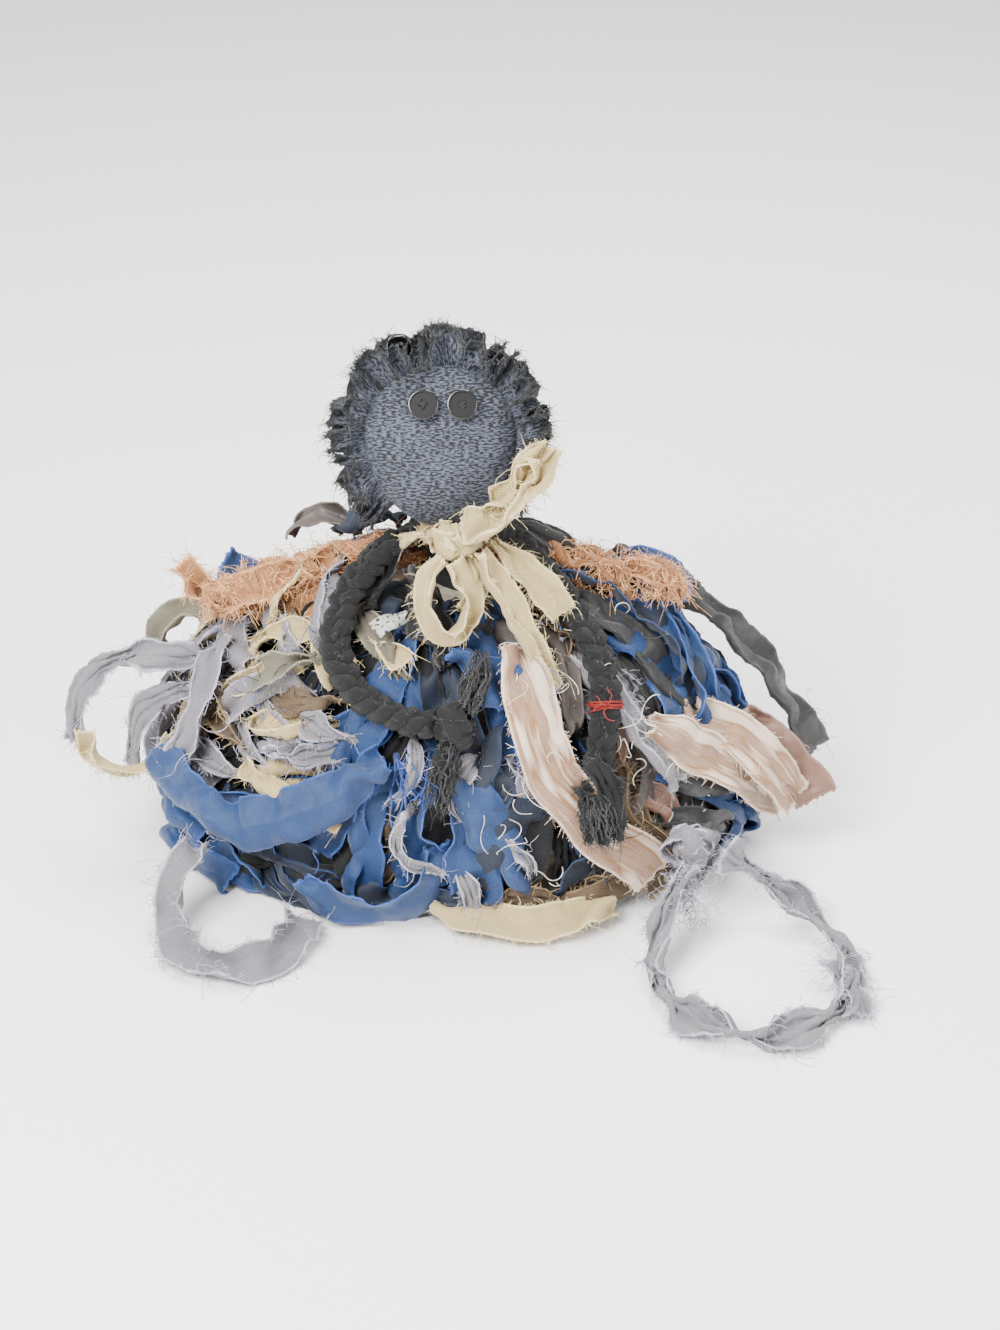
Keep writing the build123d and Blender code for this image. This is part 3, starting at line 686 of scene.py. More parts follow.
def lay(name, path, facing, width, lie, columns=16, gather=(0.0, 0.0), taper=None):
    """Strip of cloth along a path, bent across its width without stretching."""
    rng = seeded(name)
    curl, pleat, pleats, folded, billow, wrinkle = LIES[lie]
    rows = len(path) - 1
    steps = np.linalg.norm(np.diff(path, axis=0), axis=1)
    arc = np.concatenate([[0], np.cumsum(steps)])
    path = path + np.stack([drift(arc, rng, 55, 1.0) for _ in range(3)], axis=1)
    along = unit(np.gradient(path, axis=0))
    face = unit(facing - (facing * along).sum(1, keepdims=True) * along)
    side = np.cross(along, face)
    tilt = drift(arc, rng, 70, 0.22)[:, None]
    face, side = face * np.cos(tilt) + side * np.sin(tilt), side * np.cos(tilt) - face * np.sin(tilt)
    u = (np.arange(columns) + 0.5) / columns - 0.5
    u = u[None, :]
    at = arc[:, None]
    ends = np.maximum(gather[0] * (1 - gate(at / 22)), gather[1] * (1 - gate((arc[-1] - at) / 22)))
    swing = pleat * (1 + drift(arc, rng, 60, 0.5)[:, None]) + 1.5 * ends
    lean = curl * 2 * u * (1 + drift(arc, rng, 45, 0.45)[:, None])
    lean = lean + swing * np.cos(2 * np.pi * (pleats * u + drift(arc, rng, 80, 0.35)[:, None]))
    if folded:
        start = 0.5 - folded * (1 + drift(arc, rng, 60, 0.2)[:, None])
        lean = lean + math.pi * gate((u - start) / 0.13) * (1 - 0.06 * np.sin(at / 9))
    wide = width * np.ones((rows + 1, 1)) if taper is None else width * taper(at / arc[-1])
    across = np.concatenate([np.zeros((rows + 1, 1)), np.cumsum(np.cos(lean), axis=1)], axis=1) * wide / columns
    lift = np.concatenate([np.zeros((rows + 1, 1)), np.cumsum(np.sin(lean), axis=1)], axis=1) * wide / columns
    across -= (across.max(1, keepdims=True) + across.min(1, keepdims=True)) / 2
    lift -= lift.mean(1, keepdims=True)
    edges_u = np.linspace(-0.5, 0.5, columns + 1)[None, :]
    flat_x = edges_u * wide
    lean_at = np.concatenate([lean[:, :1], (lean[:, 1:] + lean[:, :-1]) / 2, lean[:, -1:]], axis=1)
    push = ripple(flat_x, at, rng, 26, billow) + ripple(flat_x, at, rng, 8, wrinkle)
    push = push + 0.35 * ripple(flat_x, at, rng, 5, 1.0) * gate((np.abs(edges_u) - 0.3) / 0.2)
    normal = -np.sin(lean_at)[..., None] * side[:, None] + np.cos(lean_at)[..., None] * face[:, None]
    grid = path[:, None] + across[..., None] * side[:, None] + lift[..., None] * face[:, None] + push[..., None] * normal
    for row, sign in ((0, -1), (-1, 1)):
        ragged = rng.uniform(-0.5, 1.6, columns + 1)[:, None] * sign
        grid[row] += along[row] * ragged
    grid[..., 2] = np.maximum(grid[..., 2], FLOOR_CLEARANCE)
    flat = np.stack([flat_x + 0 * at, at + 0 * flat_x], axis=-1)
    near = np.minimum((0.5 - np.abs(edges_u)) * wide, np.minimum(at, arc[-1] - at) + 0 * edges_u)
    return Cloth(grid, flat, near)


def grid_mesh(name, cloth):
    """Mesh object of a cloth grid, in metres, with its flat cut as UV map and its edge distance as attribute."""
    rows, columns = (n - 1 for n in cloth.grid.shape[:2])
    bm = bmesh.new()
    bmesh.ops.create_grid(bm, x_segments=columns, y_segments=rows, size=0.5)
    mesh = bpy.data.meshes.new(name)
    bm.to_mesh(mesh)
    bm.free()
    co = np.empty(len(mesh.vertices) * 3)
    mesh.vertices.foreach_get("co", co)
    co = co.reshape(-1, 3)
    column = np.rint((co[:, 0] + 0.5) * columns).astype(int)
    row = np.rint((co[:, 1] + 0.5) * rows).astype(int)
    mesh.vertices.foreach_set("co", (cloth.grid[row, column] * MM).ravel())
    corner = np.empty(len(mesh.loops), dtype=int)
    mesh.loops.foreach_get("vertex_index", corner)
    layer = mesh.uv_layers.new(name="flat")
    layer.data.foreach_set("uv", (cloth.flat[row, column][corner] * MM).ravel())
    edge = mesh.attributes.new("edge", "FLOAT", "POINT")
    edge.data.foreach_set("value", cloth.edge[row, column].astype(np.float32))
    mesh.polygons.foreach_set("use_smooth", [True] * len(mesh.polygons))
    mesh.update()
    piece = bpy.data.objects.new(name, mesh)
    bpy.context.scene.collection.objects.link(piece)
    return piece


def thicken(piece):
    solid = piece.modifiers.new("Cloth thickness", "SOLIDIFY")
    solid.thickness = bpy.context.scene.rag_sizes.cloth_thickness
    solid.offset = 0.0


def thread_piece(name, strands, kind, body, radius=None):
    """Curve object of many threads, each an array of points in millimetres.

    The bevel is one metre and each point's radius is the thread's own, because a point's radius counts in the box.
    """
    radius = radius or bpy.context.scene.rag_sizes.thread_radius
    curve = bpy.data.curves.new(name, "CURVE")
    curve.dimensions = "3D"
    curve.bevel_depth = 1.0
    curve.bevel_resolution = 0
    curve.use_fill_caps = True
    for strand in strands:
        strand = np.array(strand)
        strand[:, 2] = np.maximum(strand[:, 2], 0.5)
        spline = curve.splines.new("POLY")
        spline.points.add(len(strand) - 1)
        spline.points.foreach_set("co", np.hstack([strand * MM, np.ones((len(strand), 1))]).ravel())
        spline.points.foreach_set("radius", radius * np.linspace(1.1, 0.7, len(strand)))
    piece = bpy.data.objects.new(name, curve)
    bpy.context.scene.collection.objects.link(piece)
    curve.materials.append(thread_material(kind))
    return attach(piece, body)


def frayed(cloth, rng, per_mm, length, edges="lr", curl=0.5):
    """Short threads that stick out of a cloth's raw edges."""
    grid = cloth.grid
    lines = []
    if "l" in edges:
        lines.append((grid[:, 0], grid[:, 0] - grid[:, 1]))
    if "r" in edges:
        lines.append((grid[:, -1], grid[:, -1] - grid[:, -2]))
    if "s" in edges:
        lines.append((grid[0], grid[0] - grid[1]))
    if "e" in edges:
        lines.append((grid[-1], grid[-1] - grid[-2]))
    strands = []
    share = np.linspace(0, 1, 4)[:, None]
    for line, outward in lines:
        run = np.linalg.norm(np.diff(line, axis=0), axis=1).sum()
        for _ in range(int(run * per_mm)):
            at = rng.uniform(0, len(line) - 1.001)
            k = int(at)
            start = line[k] * (1 - at + k) + line[k + 1] * (at - k)
            out = unit(outward[k])
            along = unit(line[k + 1] - line[k])
            over = np.cross(along, out)
            reach = length * rng.gamma(2.0, 0.5)
            bend = rng.normal(0, curl, 3)
            heading = unit(out + over * rng.normal(0, 0.35) + along * rng.normal(0, 0.45))
            strands.append(
                start
                - 0.5 * out
                + reach * (heading * share + (along * bend[0] + over * bend[1]) * share**2)
                + reach * 0.3 * (out * bend[2] - np.array([0, 0, 1.0])) * share**3
            )
    return strands


def wandering(rng, start, heading, length, keep_out, points=12, wander=0.5):
    """One long loose thread that curls away from a point and stays near the surface it left."""
    step = length / points
    found = [np.array(start, float)]
    heading = unit(np.array(heading, float))
    spin = rng.normal(0, 1, 3)
    for _ in range(points):
        spin = unit(spin + rng.normal(0, 0.5, 3))
        heading = unit(heading + wander * np.cross(heading, spin) + 0.08 * keep_out - np.array([0, 0, 0.08]))
        found.append(found[-1] + heading * step)
    return smooth(found, 2)


# Frayed threads of each cloth: threads per millimetre of edge, their length, and loose long threads per strip
FRAYS = {
    "royal_blue": (0.55, 1.0, 0),
    "deep_blue": (0.35, 1.2, 0),
    "light_grey": (0.9, 3.0, 2),
    "cream_twill": (1.1, 2.4, 1),
    "peach_cloth": (1.9, 3.0, 2),
    "charcoal_denim": (1.5, 2.0, 0),
    "blush_brocade": (0.8, 1.4, 1),
    "blush_satin": (0.25, 2.0, 0),
    "taupe_satin": (0.25, 2.0, 0),
    "black_lining": (0.3, 2.0, 1),
    "olive_cloth": (0.6, 2.0, 1),
    "tan_cloth": (1.0, 3.0, 2),
    "dark_cloth": (0.3, 2.0, 0),
    "black_yarn": (1.6, 2.6, 0),
    "woven_tag": (0.0, 0.0, 0),
}


def sheet_piece(name, cloth, kind, body, nodes=(), edges="lrse", fray=1.0):
    """Finished strip: cloth mesh, frayed threads and material, with the CAD nodes it stands for hidden.
    """
    rng = seeded(name + "fray")
    piece = grid_mesh(name, cloth)
    thicken(piece)
    dress(piece, kind)
    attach(piece, body)
    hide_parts(*nodes)
    per_mm, length, loose = FRAYS[kind]
    length *= bpy.context.scene.rag_sizes.fray
    strands = frayed(cloth, rng, per_mm * fray, length * min(fray, 1.6), edges) if per_mm and fray else []
    for _ in range(int(loose * min(fray, 1))):
        i = rng.integers(1, len(cloth.grid) - 1)
        j = rng.choice([0, -1])
        start = cloth.grid[i, j]
        out = unit(np.array([start[0], start[1] * 1.4, start[2] * 0.4]))
        strands.append(wandering(rng, start, out + rng.normal(0, 0.6, 3), rng.uniform(10, 26), out))
    if strands:
        thread_piece(name + "_fray", strands, kind if kind in THREADS else "white", body)
    return piece


def bowed(start, end, bow, count=7):
    """Rows from start to end, pushed out by bow in the middle."""
    share = np.linspace(0, 1, count)[:, None]
    return np.array(start, float) * (1 - share) + np.array(end, float) * share + np.array(bow) * np.sin(np.pi * share)


def arched(centre, across, up, start, end, count=9):
    """Points round an ellipse with two half axes, from one angle in degrees to another."""
    angle = np.radians(np.linspace(start, end, count))[:, None]
    return np.array(centre, float) + np.array(across) * np.cos(angle) + np.array(up) * np.sin(angle)


def strip(name, kind, width, controls, lie="soft", ends="tt", nodes=(), body="figure", facings=None, fray=1.0,
          columns=16):
    """Strip over the body, its controls as bearing, height and standoff, or free in the air with facings."""
    step = bpy.context.scene.rag_sizes.row_length / MM
    if facings is None:
        laid, away = over_body(smooth(controls))
        points, out = evenly(laid, step, away)
    else:
        points, out = evenly(smooth(controls), step, smooth(unit(np.array(facings, float))))
    arc = np.linspace(0, 1, len(points))[:, None] * len(points) * step
    sink = (ends[0] == "t") * (1 - gate(arc / 16)) + (ends[1] == "t") * (1 - gate((arc[-1] - arc) / 16))
    if facings is None:
        points = points - out * sink * 5
    gather = (0.9 if ends[0] == "t" else 0.0, 0.9 if ends[1] == "t" else 0.0)
    cloth = lay(name, points, unit(out), width, lie, columns, gather)
    edges = "lr" + ("s" if ends[0] == "f" else "") + ("e" if ends[1] == "f" else "")
    return sheet_piece(name, cloth, kind, body, nodes, edges, fray)


# Strips that stand for CAD nodes: cloth, and then, for each strip, its width, both ends, bow, layers,
# lie and ends (t tucked, f free)
NODE_STRIPS = {
    "blue_fold_centre": ("royal_blue", [(30, (0, SHOULDER), (15, CHEST), (3, 0), (3, 3), "arched", "tt")]),
    "blue_twist_left": ("royal_blue", [(24, (-15, CHEST), (-45, HIP), (0, 0), (0, 0), "flat", "tt")]),
    "blue_sweep": ("royal_blue", [(30, (-70, HIP), (-15, WAIST), (0, -25), (6.5, 5), "arched", "ft")]),
    "blue_strip_centre": ("royal_blue", [(26, (0, WAIST), (15, HEM), (0, 0), (2, 2), "arched", "tt")]),
    "blue_strips_right": ("royal_blue", [
        (24, (30, WAIST), (30, HEM), (0, 0), (0, 0), "soft", "tt"),
        (24, (55, HIP), (75, HEM), (0, 0), (2, 3), "folded", "tf"),
    ]),
    "blue_drape_right": ("royal_blue", [(38, (65, SHOULDER), (90, HIP), (5, 5), (1, 3), "arched", "tt")]),
    "grey_drop_left": ("light_grey", [(20, (-75, CHEST), (-65, HIP), (5, 0), (5.5, 5.5), "soft", "tf")]),
    "grey_strips_front": ("light_grey", [
        (18, (-60, WAIST), (-40, CHEST), (-3, 6), (4, 1.5), "arched", "tt"),
        (20, (15, WAIST + 5), (15, HIP), (0, 0), (1, 1), "rolled", "tt"),
    ]),
    "grey_twist_right": ("light_grey", [(20, (40, SHOULDER), (50, HIP), (0, 0), (1, 4), "folded", "tf")]),
    "cream_strips": ("cream_twill", [
        (16, (-70, CHEST), (-45, SHOULDER), (0, 4), (3, 2.5), "cupped", "tt"),
        (18, (-55, WAIST), (-30, WAIST + 10), (0, 0), (2.5, 2), "folded", "tt"),
        (16, (-50, HIP + 5), (-30, WAIST - 5), (0, 0), (1, 1), "arched", "tt"),
        (18, (-30, SHOULDER), (-15, SHOULDER - 5), (0, 3), (2, 2), "cupped", "tf"),
    ]),
    "brocade_strip_long": ("blush_brocade", [(27, (20, SHOULDER), (40, HEM), (-8, 0), (4, 4.5), "flat", "tf")]),
    "brocade_strip_low": ("blush_brocade", [(25, (50, WAIST), (80, HEM), (0, 0), (4, 6.5), "flat", "tf")]),
    "woven_tag": ("woven_tag", [(11, (-25, SHOULDER + 3), (-18, SHOULDER + 10), (0, 0), (4.5, 4.5), "flat", "ft")]),
}


def make_node_strips():
    for part, (kind, laid) in NODE_STRIPS.items():
        for i, (width, start, end, bow, (first, last), lie, ends) in enumerate(laid):
            off = [FIRST_LAYER + LAYER_PITCH * layer + PUFF for layer in (first, last)]
            controls = bowed((*start, off[0]), (*end, off[1]), (*bow, 0))
            strip(f"{part}_{i}", kind, width, controls, lie, ends, [part] if i == 0 else [])


# Free strips with two ends: cloth, width, ends, bow, the way the face looks, lie, ends, body, CAD nodes
BOWED_STRIPS = {
    "blue_tip": ("royal_blue", 22, (-120, 16, 146), (-90, 16, 130), (0, 0, -4), (-0.4, -0.4, 1), "flat", "ft",
                 "figure", ["blue_tip_left"]),
    "grey_flare": ("light_grey", 20, (-120, -24, 110), (-200, -10, 50), (-22, 0, 22), (-0.6, -0.7, 0.6), "gathered",
                   "tf", "figure", ["grey_flare_left"]),
    "grey_flare_inner": ("light_grey", 18, (-112, -36, 102), (-168, -28, 50), (-14, 0, 14), (-0.5, -0.8, 0.6),
                         "gathered", "tf", "figure", []),
    "cream_foot": ("cream_twill", 20, (-10, -100, 12), (80, -100, 12), (0, -14, -3), (0, -0.6, 1), "flat", "tt",
                   "figure", ["cream_strip_bottom"]),
    "black_outer": ("black_lining", 32, (75, 16, 148), (190, -5, 45), (10, 8, 14), (0.6, -0.4, 0.8), "folded", "tf",
                    "figure", ["black_lining_right"]),
    "satin_outer": ("blush_satin", 26, (150, -26, 80), (186, -40, 36), (0, 0, 3), (0.5, -0.8, 0.4), "flat", "tf",
                    "figure", ["satin_strip_right"]),
    "brocade_point": ("blush_brocade", 24, (112, -40, 92), (176, -46, 40), (4, 0, 8), (0.4, -0.8, 0.6), "flat", "tf",
                      "figure", []),
    "black_shoulder_right": ("black_lining", 26, (16, -9, 185), (70, -13, 154), (0, 0, 4), (0.3, -0.6, 1),
                             "gathered", "tt", "figure", []),
    "black_shoulder_left": ("black_lining", 26, (-16, -14, 188), (-40, -40, 148), (-6, 0, 4), (-0.3, -0.7, 0.8),
                            "gathered", "tt", "figure", []),
    "black_chest": ("black_lining", 30, (-20, -36, 170), (-4, -64, 130), (0, -4, 0), (-0.1, -0.8, 0.6), "gathered",
                    "tt", "figure", []),
    "blue_shoulder": ("deep_blue", 18, (-60, 5, 168), (-26, 5, 174), (0, 0, 9), (0, -0.5, 1), "arched", "tt",
                      "figure", []),
    "blue_corner_right": ("royal_blue", 22, (84, 10, 150), (122, 6, 134), (0, 0, 6), (0.3, -0.4, 1), "flat", "tf",
                          "figure", []),
}

# Curled strips: cloth, width, centre, two half axes, angles, lean of the outward faces, lie, ends, CAD nodes
CURLED_STRIPS = {
    "blue_low_ring": ("royal_blue", 24, (-42, -100, 36), (36, 0, 0), (0, 10, 22), (200, 380), (0, -0.9, 0.2), "flat",
                      "tt", ["blue_low_loop"]),
    "taupe_roll": ("taupe_satin", 17, (-66, 6, 160), (18, 0, 0), (0, 2, 16), (160, 20), (0, -0.4, 0.3), "cupped",
                   "tt", ["taupe_curl"]),
    "cream_ring": ("cream_twill", 14, (-166, -44, 84), (22, 4, 0), (0, 0, 28), (185, 345), (0, -0.8, 0), "cupped",
                   "ft", ["cream_loop_left"]),
    "olive_ring": ("olive_cloth", 19, (-137, 10, 104), (17, 0, 0), (0, 4, 14), (35, 325), (0, -0.7, 0), "cupped",
                   "tt", ["olive_loop_left"]),
}


def make_free_strips():
    for name, (kind, width, start, end, bow, face, lie, ends, body, nodes) in BOWED_STRIPS.items():
        points = bowed(start, end, bow)
        strip(name, kind, width, points, lie, ends, nodes, body, [face] * len(points))
    for name, (kind, width, centre, across, up, angles, lean, lie, ends, nodes) in CURLED_STRIPS.items():
        points = arched(centre, across, up, *angles)
        faces = unit(points - np.array(centre)) + np.array(lean)
        strip(name, kind, width, points, lie, ends, nodes, "figure", faces)


# Thickets of filling strips: bearings, heights, count, slant from hanging (degrees), length, standoff, width,
# cloths and lies
# The darker copy of royal blue and the near-black bag cloth among these strips are partly painted shade deep in the
# heap
THICKETS = {
    "under": ((-100, 260), (45, 150), 54, (0, 14), (75, 100), (2, 6), (24, 32),
              ("dark_cloth", "deep_blue", "dark_cloth"), ("soft", "gathered")),
    "under_low": ((-100, 260), (10, 60), 40, (0, 14), (50, 70), (2, 6), (24, 32),
                  ("deep_blue", "dark_cloth", "tan_cloth"), ("soft", "gathered")),
    "left_heap": ((-95, -30), (55, 135), 30, (75, 24), (40, 62), (12, 22), (15, 20),
                  ("light_grey", "cream_twill", "light_grey", "tan_cloth", "cream_twill", "light_grey", "olive_cloth"),
                  ("cupped", "arched", "gathered", "folded", "bunched")),
    "left_flare": ((-104, -82), (45, 110), 9, (0, 16), (48, 70), (16, 28), (18, 24),
                   ("light_grey", "light_grey", "cream_twill"), ("gathered", "cupped")),
    "left_foot": ((-82, -25), (8, 52), 7, (70, 18), (55, 80), (9, 20), (20, 27),
                  ("royal_blue", "deep_blue", "royal_blue"), ("arched", "folded", "cupped")),
    "chest": ((-30, 45), (112, 150), 9, (30, 40), (30, 48), (3, 8), (17, 24),
              ("royal_blue", "deep_blue", "black_lining", "royal_blue", "taupe_satin"), ("arched", "gathered")),
    "centre": ((-28, 32), (18, 108), 13, (-8, 18), (55, 85), (6, 13), (22, 32),
               ("royal_blue", "deep_blue", "royal_blue"), ("arched", "cupped", "soft", "folded")),
    "centre_scraps": ((-12, 32), (14, 96), 8, (10, 30), (24, 42), (14, 20), (11, 17),
                      ("light_grey", "tan_cloth", "light_grey"), ("bunched", "rolled", "gathered")),
    "middle_right": ((28, 58), (24, 128), 14, (6, 20), (36, 62), (7, 14), (15, 21),
                     ("light_grey", "tan_cloth", "blush_satin", "black_lining", "light_grey", "taupe_satin"),
                     ("gathered", "soft", "folded")),
    "right_side": ((56, 104), (38, 132), 15, (-12, 18), (52, 80), (8, 20), (22, 32),
                   ("royal_blue", "deep_blue", "royal_blue", "black_lining"), ("arched", "cupped", "folded")),
    "right_foot": ((38, 104), (8, 52), 14, (40, 30), (40, 62), (9, 22), (17, 24),
                   ("deep_blue", "tan_cloth", "royal_blue", "black_lining", "blush_satin"),
                   ("gathered", "arched", "folded")),
    "hem": ((-100, 104), (5, 22), 15, (86, 8), (42, 60), (7, 14), (15, 21),
            ("deep_blue", "royal_blue", "tan_cloth", "dark_cloth", "light_grey"), ("gathered", "arched")),
    "back": ((104, 256), (14, 142), 60, (10, 26), (52, 84), (3, 9), (18, 27),
             ("royal_blue", "light_grey", "cream_twill", "deep_blue", "light_grey", "blush_satin", "royal_blue",
              "olive_cloth"), ("soft", "gathered", "arched", "folded", "cupped")),
}
GOLDEN = (math.sqrt(5) - 1) / 2


def make_thickets():
    """Fill the heap between the named strips, region by region."""
    for region, (bearings, heights, count, slant, lengths, offs, widths, kinds, lies) in THICKETS.items():
        rng = seeded(region)
        for i in range(count):
            bearing = bearings[0] + (bearings[1] - bearings[0]) * ((i + 0.5) * GOLDEN % 1)
            height = heights[0] + (heights[1] - heights[0]) * (i + 0.5) / count
            turn = math.radians(rng.normal(*slant))
            reach = rng.uniform(*lengths) / 2
            girth = HALF_WIDTH * math.sqrt(1 - min(height / HALF_HEIGHT, 0.94) ** 2)
            shift = math.degrees(reach * math.sin(turn) / max(girth, 35))
            rise = reach * math.cos(turn)
            off = rng.uniform(*offs)
            top, foot = (np.clip(h, 4, 0.96 * HALF_HEIGHT) for h in (height + rise, height - rise))
            start, end = (bearing - shift, top, off - 3), (bearing + shift, foot, off - 1)
            controls = bowed(start, end, (rng.normal(0, 4), rng.normal(0, 4), 5))
            under = region.startswith("under")
            strip(f"{region}_{i:02d}", kinds[i % len(kinds)], rng.uniform(*widths), controls, lies[i % len(lies)],
                  "tt" if under or i % 3 else "tf", columns=10 if under else 14, fray=0.0 if under else 0.9)


def ring_points(centre, half_sizes, start, end, knot_angle, rise):
    """Points and faces of a ring of cloth on the floor that rises towards its knot, as the CAD has it."""
    angle = np.radians(np.linspace(start, end, 13))
    near = np.maximum(np.cos(angle - math.radians(knot_angle)), 0)
    points = np.stack([centre[0] + half_sizes[0] * np.cos(angle), centre[1] + half_sizes[1] * np.sin(angle),
                       8 + rise * near**3], axis=1)
    return points, np.stack([0.8 * np.cos(angle), -0.8 * np.abs(np.sin(angle)), 1 + 0 * angle], axis=1)


# ---------------------------------------------------------------- padded pieces and lumps


def ball_mesh(name, shape, levels=5):
    """Round piece whose points a function places, from unit directions to millimetres."""
    bm = bmesh.new()
    bmesh.ops.create_icosphere(bm, subdivisions=levels, radius=1.0)
    mesh = bpy.data.meshes.new(name)
    bm.to_mesh(mesh)
    bm.free()
    co = np.empty(len(mesh.vertices) * 3)
    mesh.vertices.foreach_get("co", co)
    placed, flat, edge = shape(co.reshape(-1, 3))
    mesh.vertices.foreach_set("co", (placed * MM).ravel())
    corner = np.empty(len(mesh.loops), dtype=int)
    mesh.loops.foreach_get("vertex_index", corner)
    layer = mesh.uv_layers.new(name="flat")
    layer.data.foreach_set("uv", (flat[corner] * MM).ravel())
    attribute = mesh.attributes.new("edge", "FLOAT", "POINT")
    attribute.data.foreach_set("value", edge.astype(np.float32))
    mesh.polygons.foreach_set("use_smooth", [True] * len(mesh.polygons))
    mesh.update()
    piece = bpy.data.objects.new(name, mesh)
    bpy.context.scene.collection.objects.link(piece)
    return piece


def lumps(points, rng, wavelength, size):
    """Random lumps over a round piece, from its unit directions."""
    total = np.zeros(len(points))
    for _ in range(8):
        heading = unit(rng.normal(0, 1, 3))
        total += np.sin(points @ heading * 2 * np.pi / wavelength + rng.uniform(0, 2 * np.pi))
    return size * total / 3


def knot(name, centre, half_sizes, kind, body, nodes, wraps):
    """Pulled knot: a lumpy heart with cloth wound round it."""
    rng = seeded(name)
    centre = np.array(centre, float)
    half = np.array(half_sizes, float)

    def heart(unit_points):
        swell = 0.8 + lumps(unit_points, rng, 1.2, 0.09)
        placed = centre + unit_points * half * swell[:, None]
        return placed, placed[:, [0, 2]], 9 + 0 * swell

    piece = ball_mesh(name, heart, 4)
    dress(piece, kind)
    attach(piece, body)
    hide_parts(*nodes)
    for i, (axis, shift, width) in enumerate(wraps):
        axis = unit(np.array(axis, float))
        first = unit(np.cross(axis, (0.3, 0.5, 0.8)))
        second = np.cross(axis, first)
        turn = np.linspace(0, 2.15 * np.pi, 60)[:, None]
        ring = first * np.cos(turn) + second * np.sin(turn)
        slide = axis * (shift + 0.12 * turn / np.pi)
        out = unit(ring + slide * 0.4)
        path = centre + (ring + slide) * half * (1.02 + 0.05 * i)
        path, out = evenly(path, 1.8, out)
        cloth = lay(f"{name}_wrap_{i}", path, out, width, "gathered" if i % 2 else "arched", 12)
        sheet_piece(f"{name}_wrap_{i}", cloth, kind, body, (), "lr", 0.6)
    return piece


# ---------------------------------------------------------------- head
HEAD_CENTRE = np.array([-6.0, -15.0, HALF_HEIGHT + 72])
HEAD_TILT = math.radians(20)
HEAD_RIGHT = np.array([1.0, 0.0, 0.0])
HEAD_UP = np.array([0.0, math.sin(HEAD_TILT), math.cos(HEAD_TILT)])
HEAD_OUT = np.array([0.0, -math.cos(HEAD_TILT), math.sin(HEAD_TILT)])
FACE_HALF_WIDTH = 37.0
FACE_HALF_HEIGHT = 40.0
CHIN_TAPER = 0.12
PAD_DEPTH = 18.0
EYES = [(-8.0, 21.0), (11.0, 21.0)]


def on_face(x, y, depth):
    """Millimetre points from places in the plane of the face."""
    x, y, depth = (np.asarray(v, float)[..., None] for v in (x, y, depth))
    return HEAD_CENTRE + HEAD_RIGHT * x + HEAD_UP * y + HEAD_OUT * depth


def outline_reach(angle):
    """Distance from the face's centre to its egg-shaped outline, at angles in radians."""
    turn = np.linspace(-2 * np.pi, 4 * np.pi, 1441)
    x = FACE_HALF_WIDTH * np.cos(turn) * (1 + CHIN_TAPER * np.sin(turn))
    y = FACE_HALF_HEIGHT * np.sin(turn)
    return np.interp(angle, np.unwrap(np.arctan2(y, x)) - 2 * np.pi, np.hypot(x, y))


def head_shape(points):
    """Stuffed pad: full in front, puckered along its seam, pulled in behind the buttons."""
    rng = seeded("head")
    x, y, depth = points[:, 0], points[:, 2], -points[:, 1]
    angle = np.arctan2(y, x)
    flatness = np.hypot(x, y)
    spread = np.maximum(flatness, 1e-6) ** 0.7
    reach = outline_reach(angle) * spread
    pucker = gate((flatness - 0.75) / 0.25) * (1 - gate((flatness - 0.97) / 0.03))
    swell = PAD_DEPTH * depth
    swell = swell * (1 - 0.05 * pucker * (1 + np.cos(angle * 34 + 2 * np.sin(angle * 5))))
    swell = swell + lumps(points, rng, 1.1, 0.35) * (1 - flatness * 0.5)
    fx, fy = reach * np.cos(angle), reach * np.sin(angle)
    for eye_x, eye_y in EYES:
        near = np.exp(-((fx - eye_x) ** 2 + (fy - eye_y) ** 2) / 60)
        swell = swell - np.where(depth > 0, 1.4 * near, 0)
    placed = on_face(fx, fy, swell)
    flat = np.stack([fx + 120 * (depth < 0), fy], axis=1)
    return placed, flat, np.full(len(points), 12.0)


# Frills round the head: start and end angle, seam depth, and keys along it of swing forward, sideways curl and reach
FRILLS = {
    "ruffle_crown": (46, 136, 2, [(0, 0.1, 19), (0.75, 1.0, 21), (0.2, -0.8, 20), (0.9, -1.2, 19), (0.1, 1.1, 22),
                                  (1.05, 1.2, 22), (0.35, -0.9, 21), (0.9, -0.7, 20), (1.15, -0.3, 25), (0.9, 0.2, 26),
                                  (0.3, 0.4, 23)]),
    "ruffle_left": (132, 232, 1, [(0.5, 0.4, 18), (-0.2, -0.8, 20), (0.8, -0.8, 17), (0.3, 0.9, 20), (-0.5, 0.7, 20),
                                  (0.6, -0.9, 18), (0.7, 0.6, 19), (-0.3, 0.8, 20), (0.5, -0.4, 19)]),
    "ruffle_right": (-42, 50, 1, [(0.3, 0.2, 16), (-0.1, 0.6, 19), (0.8, -0.5, 17), (0.9, 0.5, 19), (0.2, 0.8, 21),
                                  (0.9, -0.2, 21), (1.0, -0.6, 20), (0.3, 0.6, 18)]),
    "ruffle_rear": (-46, 226, -8, [(0.0, 0.6, 20), (-0.6, -0.8, 19), (0.2, 0.9, 20), (-0.5, -0.9, 20), (0.1, 0.8, 21),
                                   (-0.7, -0.9, 22), (0.1, 0.8, 22), (-0.6, -0.8, 22), (0.0, 0.9, 22), (-0.7, -0.9, 21),
                                   (0.1, 0.8, 22), (-0.6, -0.8, 22), (0.1, 0.8, 21), (-0.5, -0.6, 20)]),
}

FRILL_REACH = 0.86
FRILL_RADIUS = 60
FOLD_PITCH = 11.0
FOLD_LEAN = 0.75
FOLD_SLIDE = 2.4


